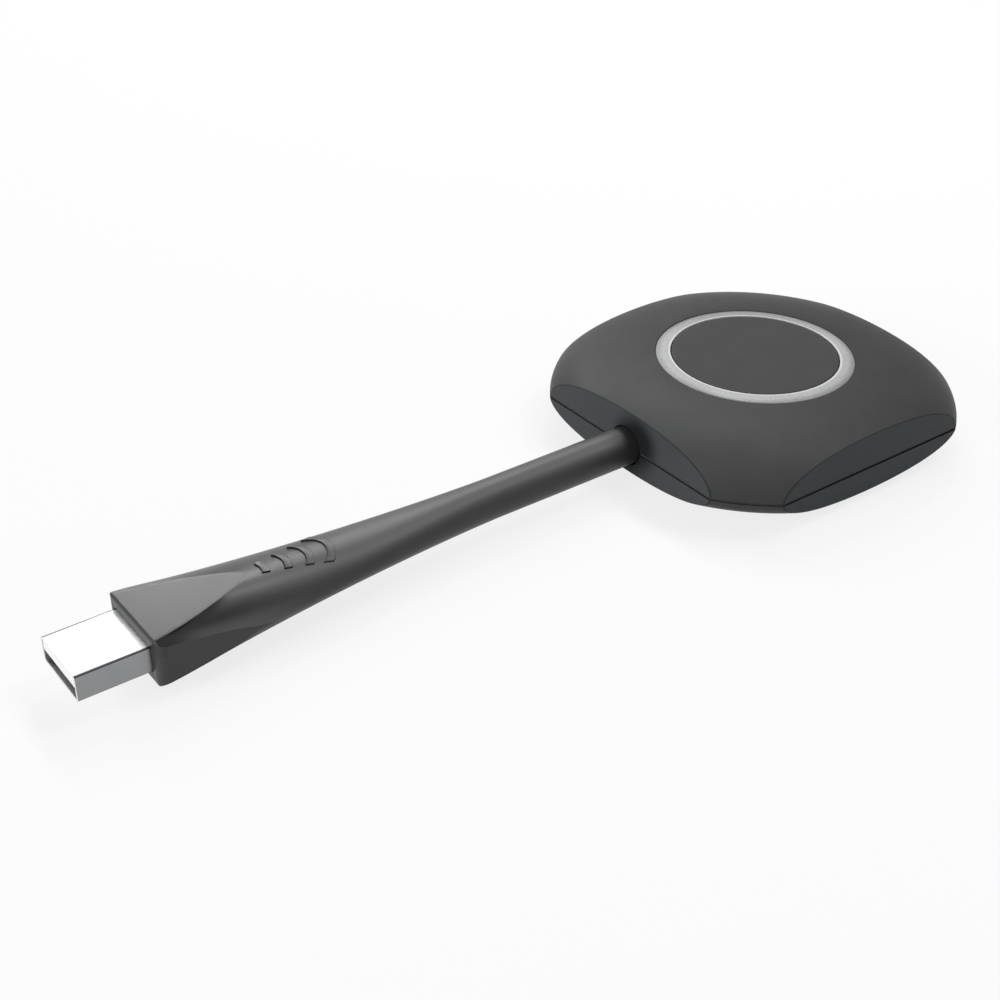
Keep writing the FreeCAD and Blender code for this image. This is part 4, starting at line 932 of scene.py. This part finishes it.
def maths(tree, operation, *sources):
    """One step of arithmetic with values or sockets."""
    return feed(tree, add(tree, "ShaderNodeMath", operation=operation), dict(enumerate(sources))).outputs[0]


def product(tree, *sources):
    """Two or more values multiplied."""
    result = sources[0]
    for source in sources[1:]:
        result = maths(tree, "MULTIPLY", result, source)
    return result


def mapped(tree, value, ends, results, **settings):
    """Maps a value from one pair of ends to another."""
    node = add(tree, "ShaderNodeMapRange", **settings)
    return feed(tree, node, dict(enumerate((value, *ends, *results)))).outputs[0]


def span(tree, value, low, high):
    """Maps the middle part of a noise to a range."""
    return mapped(tree, value, (0.3, 0.7), (low, high))


def fade(tree, value, start, end):
    """Zero to one between two values given in millimetres."""
    return mapped(tree, value, (start * MM, end * MM), (0.0, 1.0), interpolation_type="SMOOTHSTEP")


def object_place(tree):
    """The place on the object."""
    return add(tree, "ShaderNodeTexCoord").outputs["Object"]


def position(tree, axis):
    """A coordinate of the place on the object, in metres."""
    return feed(tree, add(tree, "ShaderNodeSeparateXYZ"), {0: object_place(tree)}).outputs[axis]


def ramp(tree, axis, start, end):
    """Zero to one between two coordinates in millimetres along an axis."""
    return fade(tree, position(tree, axis), start, end)


def size_of(tree, axis, centre=0.0):
    """Distance to either side of a coordinate in millimetres, along an axis."""
    return maths(tree, "ABSOLUTE", maths(tree, "SUBTRACT", position(tree, axis), centre * MM))


def distance(tree, centre, scale):
    """Distance in metres from a place; a zero in the scale leaves that axis out."""
    def vector(operation, values):
        """Outputs of one step of vector arithmetic."""
        return feed(tree, add(tree, "ShaderNodeVectorMath", operation=operation), values).outputs
    away = vector("SUBTRACT", {0: object_place(tree), 1: [c * MM for c in centre]})[0]
    return vector("LENGTH", {0: vector("MULTIPLY", {0: away, 1: scale})[0]})["Value"]


def mix(tree, share, first, second):
    """A mix of two colours, each a socket or three numbers."""
    values = {6: first, 7: second}
    for index, value in values.items():
        if not isinstance(value, bpy.types.NodeSocket):
            values[index] = (*value, 1)
    return feed(tree, add(tree, "ShaderNodeMix", data_type="RGBA"), {0: share, **values}).outputs[2]


def tinted(tree, base, mask, amount, towards=(0, 0, 0)):
    """A colour mixed towards another, by a mask times an amount."""
    return mix(tree, product(tree, mask, amount), base, towards)


def noise(tree, vector, scale, detail=2.0, rough=0.5):
    """The value of a noise at a place."""
    values = {"Vector": vector, "Scale": scale, "Detail": detail, "Roughness": rough}
    return feed(tree, add(tree, "ShaderNodeTexNoise"), values).outputs["Fac"]


def shade_range(tree, value, base, low, high):
    """A colour that a noise makes darker and lighter, between two factors."""
    return mix(tree, span(tree, value, 0.0, 1.0), [c * low for c in base], [c * high for c in base])


def grain_group():
    """Spark-eroded mould texture: a fine height, and slow variation of shade and of sheen."""
    tree = bpy.data.node_groups.get("moulded_grain")
    if tree is None:
        tree = bpy.data.node_groups.new("moulded_grain", "ShaderNodeTree")
        for label, default in (("Scale", 3000.0), ("Coarse", 140.0)):
            socket = tree.interface.new_socket(label, in_out="INPUT", socket_type="NodeSocketFloat")
            socket.default_value = default
        for label in ("Height", "Shade", "Sheen"):
            tree.interface.new_socket(label, in_out="OUTPUT", socket_type="NodeSocketFloat")
        given, place = add(tree, "NodeGroupInput").outputs, object_place(tree)
        coarse = given["Coarse"]
        feed(tree, add(tree, "NodeGroupOutput"), {
            "Height": noise(tree, place, given["Scale"], 3.0, 0.6),
            "Shade": noise(tree, place, coarse, 3.0, 0.5),
            "Sheen": noise(tree, place, product(tree, coarse, 0.25), 2.0, 0.5)})
    return tree


def grain(tree, **values):
    """The mould texture, placed in a material with its own values."""
    return feed(tree, add(tree, "ShaderNodeGroup", node_tree=grain_group()), values).outputs


def bump(tree, height, depth, normal=None):
    """The normals of a surface that is raised by a height."""
    values = {"Distance": depth, "Height": height}
    if normal is not None:
        values["Normal"] = normal
    return feed(tree, add(tree, "ShaderNodeBump"), values).outputs["Normal"]


# Finishes

def moulded(tree, base, rough, scale=2600.0, depth=0.00002, specular=0.5):
    """Moulded plastic or rubber with a fine grain and slight variation."""
    marks = grain(tree, Scale=scale)
    return feed(tree, tree.nodes["Principled BSDF"], {
        "Base Color": shade_range(tree, marks["Shade"], base, 0.94, 1.06),
        "Roughness": span(tree, marks["Sheen"], rough - 0.03, rough + 0.03),
        "Specular IOR Level": specular,
        "Normal": bump(tree, marks["Height"], depth)})


def shell_plastic(tree):
    """Painted light on the shell: painted shade towards the back and low towards the seam, a painted dark
    line at the facets' borders, a cool tint on the facets that is a painted reflection, and a painted shadow
    round the stem.
    """
    shader = moulded(tree, colour("shell"), 0.40, specular=0.032)
    far = maths(tree, "MAXIMUM", size_of(tree, X), size_of(tree, Y))
    base = source_of(shader.inputs["Base Color"])
    # Painted shade: the domes darker towards the back.
    base = tinted(tree, base, ramp(tree, Y, -36, 36), 0.40)
    # Painted shade: darker low on the domes, towards the seam.
    base = tinted(tree, base, ramp(tree, Z, SEAM + 4.5, SEAM + 1.2), 0.14)
    # Painted shade: a dark line along the facets' borders.
    base = tinted(tree, base, fade(tree, far, FLAT - 0.34, FLAT - 0.16), 0.4)
    # Painted reflection: a cooler black on the facets.
    base = mix(tree, maths(tree, "GREATER_THAN", far, (FLAT - 0.06) * MM), base, colour("facet"))
    # Painted shadow of the stem on the front facet, up and to the right of the hole.
    painted_stem_shadow = fade(tree, distance(tree, (2.6, 0, SEAM + 1.6), (1, 0, 1)), 7.0, 2.8)
    on_front = maths(tree, "LESS_THAN", position(tree, Y), (0.1 - FLAT) * MM)
    base = tinted(tree, base, product(tree, painted_stem_shadow, on_front), 0.75)
    feed(tree, shader, {"Base Color": base})


def scoop(tree, shader, mask, depth):
    """Hollows a flank: steep where the depth under the upper crease is small, level further down."""
    reach, steep, bend = 3.5 * MM, 2.2, 2.3
    near = maths(tree, "MAXIMUM", maths(tree, "SUBTRACT", 1.0, maths(tree, "DIVIDE", depth, reach)), 0.0)
    height = product(tree, maths(tree, "POWER", near, bend), steep * reach / bend)
    plain = source_of(shader.inputs["Normal"])
    both = feed(tree, add(tree, "ShaderNodeMix", data_type="VECTOR"),
                {0: mask, 4: plain, 5: bump(tree, height, 1.0, plain)})
    feed(tree, shader, {"Normal": both.outputs[1]})


def tail_rubber(tree):
    """The grip is smoother than the stem. Painted light: painted shade under the flanks' upper creases, at
    the stem's entry and on the front face round the plug, a painted highlight along the lower creases, and
    painted light on the flat sides.
    """
    shader = moulded(tree, colour("tail"), 0.34, scale=3400.0, depth=0.000006, specular=0.36)
    wide, tall = HALF_GRIP
    x, y, z = size_of(tree, X), position(tree, Y), size_of(tree, Z, SEAM)

    def behind(start, end):
        """Zero to one between two distances behind the grip's front face."""
        return fade(tree, y, FACE + start, FACE + end)

    # The flanks end at the flats, at the rounded corners of the front face and at its edge.
    before = maths(tree, "MAXIMUM", maths(tree, "SUBTRACT", (FACE + GRIP_CORNER) * MM, y), 0.0)
    inside = maths(tree, "SUBTRACT", (GRIP_CORNER * MM) ** 2, product(tree, before, before))
    corner = maths(tree, "ADD", maths(tree, "SQRT", maths(tree, "MAXIMUM", inside, 0.0)),
                   (wide - GRIP_CORNER - 0.04) * MM)
    flank = product(tree, maths(tree, "LESS_THAN", x, corner),
                    maths(tree, "LESS_THAN", z, (tall - 0.02) * MM), behind(0.4, 0.6))
    near_flank = product(tree, flank, behind(22, 10))
    flank = product(tree, flank, behind(46, 10))
    entry_painted_shade = fade(tree, y, -38, -31)

    rough = source_of(shader.inputs["Roughness"])
    for mask, change in ((behind(20, 50), 0.07), (entry_painted_shade, 0.2), (near_flank, -0.06)):
        rough = maths(tree, "ADD", rough, product(tree, mask, change))

    base = source_of(shader.inputs["Base Color"])
    # Painted shade on the flanks just under their upper creases.
    base = tinted(tree, base, product(tree, near_flank, fade(tree, z, tall - 2.6, tall - 0.9)), 0.85)
    # The flat sides' upper border runs on, down to the silhouette, past the flats' ends.
    border = mapped(tree, y, ((FACE + 12) * MM, (FACE + 24) * MM), ((SEAM + 1.5) * MM, (SEAM - 1.5) * MM))
    over = fade(tree, maths(tree, "SUBTRACT", position(tree, Z), border), 0.0, 0.15)
    # Painted highlight: a lighter line along the lower crease, above the border.
    crease_painted_highlight = product(tree, flank, fade(tree, x, wide - 2.0, wide - 0.2), behind(2, 8), over)
    base = mix(tree, crease_painted_highlight, base, (0.085, 0.086, 0.087))
    # Painted light: the flat sides lighter, and the lighter tone runs on below the border past the flats'
    # ends.
    painted_light_run_on = product(tree, maths(tree, "SUBTRACT", 1.0, over), behind(26, 18))
    flat = maths(tree, "MAXIMUM", maths(tree, "GREATER_THAN", x, (wide - 0.02) * MM), painted_light_run_on)
    base = tinted(tree, base, flat, 0.5, (0.040, 0.041, 0.042))
    # Painted shade where the stem enters the puck.
    base = tinted(tree, base, entry_painted_shade, 0.5)
    # Painted shade on the front face round the plug.
    from_plug = maths(tree, "MAXIMUM", maths(tree, "SUBTRACT", x, HALF_PLUG[0] * MM),
                      maths(tree, "SUBTRACT", z, HALF_PLUG[1] * MM))
    gap = product(tree, behind(0.9, 0.1), fade(tree, from_plug, 1.4, 0.5))
    feed(tree, shader, {"Base Color": mix(tree, gap, base, (0.004, 0.004, 0.006)), "Roughness": rough})
    scoop(tree, shader, flank, maths(tree, "SUBTRACT", tall * MM, z))


def foot_rubber(tree):
    """Coarse matt rubber with specks of dust."""
    shader = moulded(tree, colour("foot"), 0.8, scale=1400.0, depth=0.00005)
    place = object_place(tree)
    cells = feed(tree, add(tree, "ShaderNodeTexVoronoi", feature="F1"), {"Vector": place, "Scale": 900.0})
    speck = maths(tree, "LESS_THAN", cells.outputs["Distance"], 0.10)
    patch = maths(tree, "GREATER_THAN", noise(tree, place, 260.0, 1.0), 0.62)
    base, dust = source_of(shader.inputs["Base Color"]), product(tree, speck, patch)
    feed(tree, shader, {"Base Color": tinted(tree, base, dust, 0.6, (0.45, 0.45, 0.44))})


def frosted(tree):
    """Frosted clear plastic over a white reflector, with painted shade at its outer edge and on the far
    left, and a painted highlight along its inner rim.
    """
    marks = grain(tree, Scale=1500.0, Coarse=420.0)
    ring = colour("ring")
    fine = noise(tree, object_place(tree), 3200.0, 2.0, 0.6)
    radius = distance(tree, (0, 0, 0), (1, 1, 0))
    base = shade_range(tree, marks["Shade"], ring, 0.88, 1.02)
    base = mix(tree, span(tree, fine, 0.0, 0.9), base, [c * 1.5 for c in ring])
    # Painted shade on the outer slope.
    base = tinted(tree, base, fade(tree, radius, 16.9, 18.2), 0.42)
    # Painted shade on the far left of the ring.
    base = tinted(tree, base, fade(tree, distance(tree, (-14.2, 10.6, 0), (1, 1, 0)), 22, 6), 0.35)
    # Painted highlight along the inner rim.
    base = tinted(tree, base, fade(tree, radius, 16.2, 15.95), 0.4, (0.9, 0.9, 0.9))
    feed(tree, tree.nodes["Principled BSDF"], {
        "Base Color": base,
        "Roughness": span(tree, marks["Sheen"], 0.40, 0.52),
        "Subsurface Weight": 0.25, "Subsurface Radius": (1.0, 1.0, 1.0), "Subsurface Scale": 0.0006,
        "Normal": bump(tree, marks["Height"], 0.00004)})


def metal(tree, base, rough, stretch=(1, 1, 1), depth=0.000006):
    """Plated or rolled metal with fine marks."""
    mapping = feed(tree, add(tree, "ShaderNodeMapping"), {"Vector": object_place(tree), "Scale": stretch})
    fine = noise(tree, mapping.outputs[0], 1800.0, 4.0, 0.6)
    wide = noise(tree, mapping.outputs[0], 160.0, 2.0, 0.5)
    return feed(tree, tree.nodes["Principled BSDF"], {
        "Base Color": shade_range(tree, wide, base, 0.95, 1.04),
        "Roughness": span(tree, fine, rough - 0.04, rough + 0.05),
        "Metallic": 1.0,
        "Normal": bump(tree, fine, depth)})


def plated_steel(tree):
    """Bright plating, with painted shade on the two narrow sides, low on them and inside, and painted dark
    lines at the bends and on the mouth's left and bottom edges.
    """
    shader = metal(tree, colour("steel"), 0.30, depth=0.000002)
    # Colours of the painted shade and of the painted dark lines.
    shade, line = (0.02, 0.02, 0.022), (0.03, 0.03, 0.034)
    wide, tall = HALF_PLUG
    floor = SEAM - tall
    x, z = size_of(tree, X), size_of(tree, Z, SEAM)
    # Painted shade: the two narrow sides darker than the top and bottom.
    side = fade(tree, x, wide - 0.25, wide - 0.15)
    # Painted dark lines at the sheet's bends.
    bend = product(tree, fade(tree, x, wide - 0.54, wide - 0.44), fade(tree, z, tall - 0.2, tall - 0.12))
    # Painted shade along the bottom of the narrow sides.
    low = product(tree, side, ramp(tree, Z, floor + 0.3, floor + 0.2))
    # Painted shade on the sheet's inner faces.
    inside = product(tree, fade(tree, x, wide - 0.27, wide - 0.31), fade(tree, z, tall - 0.27, tall - 0.31))
    # Painted dark lines on the left and bottom edges of the mouth.
    rim = maths(tree, "MAXIMUM", ramp(tree, X, 0.12 - wide, 0.07 - wide),
                ramp(tree, Z, floor + 0.12, floor + 0.07))
    bright = source_of(shader.inputs["Base Color"])
    base = tinted(tree, bright, side, 0.70, shade)
    base = tinted(tree, base, bend, 0.93, line)
    base = tinted(tree, base, low, 0.6, line)
    base = tinted(tree, base, inside, 0.80, shade)
    mouth = tinted(tree, bright, rim, 0.93, line)
    feed(tree, shader, {"Base Color": mix(tree, ramp(tree, Y, TIP + 0.03, TIP + 0.12), mouth, base)})


def board_laminate(tree):
    """Solder mask with faint tracks."""
    place = object_place(tree)
    cells = feed(tree, add(tree, "ShaderNodeTexVoronoi", feature="DISTANCE_TO_EDGE", distance="CHEBYCHEV"),
                 {"Vector": place, "Scale": 420.0})
    track = maths(tree, "LESS_THAN", cells.outputs["Distance"], 0.09)
    feed(tree, tree.nodes["Principled BSDF"], {
        "Base Color": mix(tree, track, (0.010, 0.085, 0.035), (0.022, 0.15, 0.06)),
        "Roughness": span(tree, noise(tree, place, 900.0), 0.24, 0.34),
        "Normal": bump(tree, track, 0.00002)})


def floor_paint(tree):
    """White floor that keeps the object's shadow and fades into the backdrop far away."""
    shader = feed(tree, tree.nodes["Principled BSDF"], {
        "Base Color": (0.82, 0.82, 0.82, 1), "Roughness": 0.9, "Specular IOR Level": 0.1})
    glow = feed(tree, add(tree, "ShaderNodeEmission"), {"Strength": 1.0})
    far = fade(tree, distance(tree, (0, -40, 0), (1, 1, 0)), 250, 900)
    share = product(tree, backdrop_rays(tree), maths(tree, "ADD", 0.80, product(tree, far, 0.20)))
    seen = feed(tree, add(tree, "ShaderNodeMixShader"), {0: share, 1: shader.outputs[0], 2: glow.outputs[0]})
    feed(tree, tree.nodes["Material Output"], {"Surface": seen.outputs[0]})


def inner_finishes():
    """Names, makers and values of the finishes of the pieces inside, by the record's material slots."""
    return {
        "reflector_white": ("reflector_white_matt", moulded, (0.80, 0.80, 0.79), 0.6),
        "guide_black": ("guide_black_plastic", moulded, (0.03, 0.03, 0.03), 0.5),
        "plunger_white": ("plunger_white_plastic", moulded, (0.72, 0.71, 0.68), 0.4),
        "jacket_black": ("jacket_black_vinyl", moulded, (0.025, 0.025, 0.026), 0.45),
        "mould_grey": ("mould_grey_plastic", moulded, (0.18, 0.18, 0.185), 0.55),
        "contact_gold": ("contact_gold_plate", metal, (0.85, 0.62, 0.28), 0.22),
        "board_green": ("board_green_mask", board_laminate),
        "chip_black": ("chip_black_epoxy", moulded, (0.035, 0.035, 0.037), 0.6),
        "tin_grey": ("tin_grey_plate", metal, (0.62, 0.62, 0.60), 0.35),
        "passive_tan": ("passive_tan_ceramic", moulded, (0.42, 0.30, 0.18), 0.5),
        "lamp_white": ("lamp_white_resin", moulded, (0.85, 0.84, 0.74), 0.3),
        "pad_blue": ("pad_blue_silicone", moulded, (0.10, 0.24, 0.46), 0.7),
        "spreader_aluminium": ("spreader_brushed", metal, (0.70, 0.71, 0.72), 0.36, (1, 14, 1)),
        "antenna_copper": ("antenna_copper_foil", metal, (0.78, 0.42, 0.26), 0.34),
        "screw_steel": ("screw_steel", metal, (0.32, 0.32, 0.33), 0.35),
        "wire_red": ("wire_red_vinyl", moulded, (0.50, 0.02, 0.02), 0.4),
        "wire_white": ("wire_white_vinyl", moulded, (0.75, 0.75, 0.73), 0.4),
        "wire_green": ("wire_green_vinyl", moulded, (0.02, 0.26, 0.07), 0.4),
        "wire_black": ("wire_black_vinyl", moulded, (0.02, 0.02, 0.02), 0.4),
        "core_copper": ("core_copper_wire", metal, (0.80, 0.44, 0.28), 0.4),
    }


class DONGLE_OT_inner_finishes(bpy.types.Operator):
    """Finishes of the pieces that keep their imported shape"""
    bl_idname = "dongle.inner_finishes"
    bl_label = "Inner Finishes"

    def execute(self, context):
        finishes = inner_finishes()
        replaced = {"top_shell", "bottom_shell", "light_ring", "button_cap", "tail_moulding", "usb_shell",
                    "usb_tongue", "foot_pad", "shell_screws"}
        for part in frame["record"]["subparts"]:
            if part["node"] not in replaced:
                mesh = frame["nodes"][part["node"]].data
                mesh.materials.clear()
                mesh.materials.append(finish(*finishes[part["material_slot"]]))
        return {"FINISHED"}


# The stage

def lamp(name, turn, lift, size, power):
    """A square softbox that faces the object, at an angle round it and one above the floor."""
    middle, away = Vector((0, -0.04, 0.01)), 0.7
    light = bpy.data.lights.new(name, "AREA")
    light.size = size
    light.energy = power
    holder = bpy.data.objects.new(name, light)
    bpy.context.scene.collection.objects.link(holder)
    turn, lift = math.radians(turn), math.radians(lift)
    towards = Vector((math.cos(turn) * math.cos(lift), math.sin(turn) * math.cos(lift), math.sin(lift)))
    holder.location = middle + towards * away
    holder.rotation_euler = (-towards).to_track_quat("-Z", "Y").to_euler()


def backdrop_rays(tree):
    """One for the rays that show the white backdrop: seen, mirrored or through glass."""
    path = add(tree, "ShaderNodeLightPath").outputs
    seen = maths(tree, "MAXIMUM", path["Is Camera Ray"], path["Is Glossy Ray"])
    return maths(tree, "MAXIMUM", seen, path["Is Transmission Ray"])


class DONGLE_OT_stage(bpy.types.Operator):
    """Floor, world, softboxes and camera"""
    bl_idname = "dongle.stage"
    bl_label = "Stage"

    def execute(self, context):
        self.floor()
        self.world(context.scene)
        lamp("softbox_left", 165, 30, 0.12, 0.80)
        lamp("softbox_middle", 150, 40, 0.12, 0.74)
        lamp("softbox_right", 135, 50, 0.12, 1.04)
        lamp("overhead", 104, 61, 0.20, 0.60)
        lamp("far_side_high", 64, 57, 0.25, 1.50)
        lamp("far_side_low", 42, 42, 0.20, 0.30)
        lamp("fill", 270, 20, 0.30, 2.9)
        self.camera(context.scene)
        context.scene.view_settings.view_transform = "Standard"
        return {"FINISHED"}

    def floor(self):
        """A plane just under the foot."""
        begin()
        bpy.ops.mesh.primitive_plane_add(size=6, location=(0, 0, -0.00005))
        floor = named("floor")
        bpy.ops.object.transform_apply(location=True, rotation=True, scale=True)
        floor.data.materials.append(finish("floor_white", floor_paint))

    def world(self, scene):
        """White where it is seen, and dim where it lights the object."""
        scene.world = bpy.data.worlds.new("studio")
        scene.world.use_nodes = True
        tree = scene.world.node_tree
        feed(tree, tree.nodes["Background"], {
            "Color": (1, 1, 1, 1), "Strength": mapped(tree, backdrop_rays(tree), (0.0, 1.0), (0.15, 1.0))})

    def camera(self, scene):
        """A camera at the photograph's viewing angle."""
        camera = bpy.data.cameras.new("camera")
        holder = bpy.data.objects.new("camera", camera)
        scene.collection.objects.link(holder)
        right, up = (0.59419, 0.80430, 0.00614), (-0.44162, 0.31986, 0.83825)
        back, place = (0.67224, -0.50080, 0.54525), (0.178264, -0.191797, 0.150106)
        turn = Matrix((right, up, back)).transposed().to_4x4()
        holder.matrix_world = Matrix.Translation(place) @ turn
        camera.sensor_width = 36.0
        camera.lens = 55.83
        camera.clip_start = 0.01
        scene.camera = holder


class DONGLE_PT_panel(bpy.types.Panel):
    """The dongle's pieces, sizes and colours"""
    bl_idname = "DONGLE_PT_panel"
    bl_label = "Screen Sharing Dongle"
    bl_space_type = "VIEW_3D"
    bl_region_type = "UI"
    bl_category = "Dongle"

    def draw(self, context):
        for settings in (context.scene.dongle_sizes, context.scene.dongle_colours):
            for key in settings.__annotations__:
                self.layout.prop(settings, key)
        for operator in OPERATORS:
            self.layout.operator(operator.bl_idname)


OPERATORS = (DONGLE_OT_top_shell, DONGLE_OT_bottom_shell, DONGLE_OT_light_ring, DONGLE_OT_button,
             DONGLE_OT_tail, DONGLE_OT_plug, DONGLE_OT_foot, DONGLE_OT_screws,
             DONGLE_OT_inner_finishes, DONGLE_OT_stage)
CLASSES = (DongleSizes, DongleColours) + OPERATORS + (DONGLE_PT_panel,)


def register():
    for item in CLASSES:
        bpy.utils.register_class(item)
    bpy.types.Scene.dongle_sizes = PointerProperty(type=DongleSizes)
    bpy.types.Scene.dongle_colours = PointerProperty(type=DongleColours)


def unregister():
    del bpy.types.Scene.dongle_colours
    del bpy.types.Scene.dongle_sizes
    for item in reversed(CLASSES):
        bpy.utils.unregister_class(item)


def main():
    register()
    bpy.ops.dongle.top_shell()
    bpy.ops.dongle.bottom_shell()
    bpy.ops.dongle.light_ring()
    bpy.ops.dongle.button()
    bpy.ops.dongle.tail()
    bpy.ops.dongle.plug()
    bpy.ops.dongle.foot()
    bpy.ops.dongle.screws()
    bpy.ops.dongle.inner_finishes()
    bpy.ops.dongle.stage()


if __name__ == "__main__":
    main()
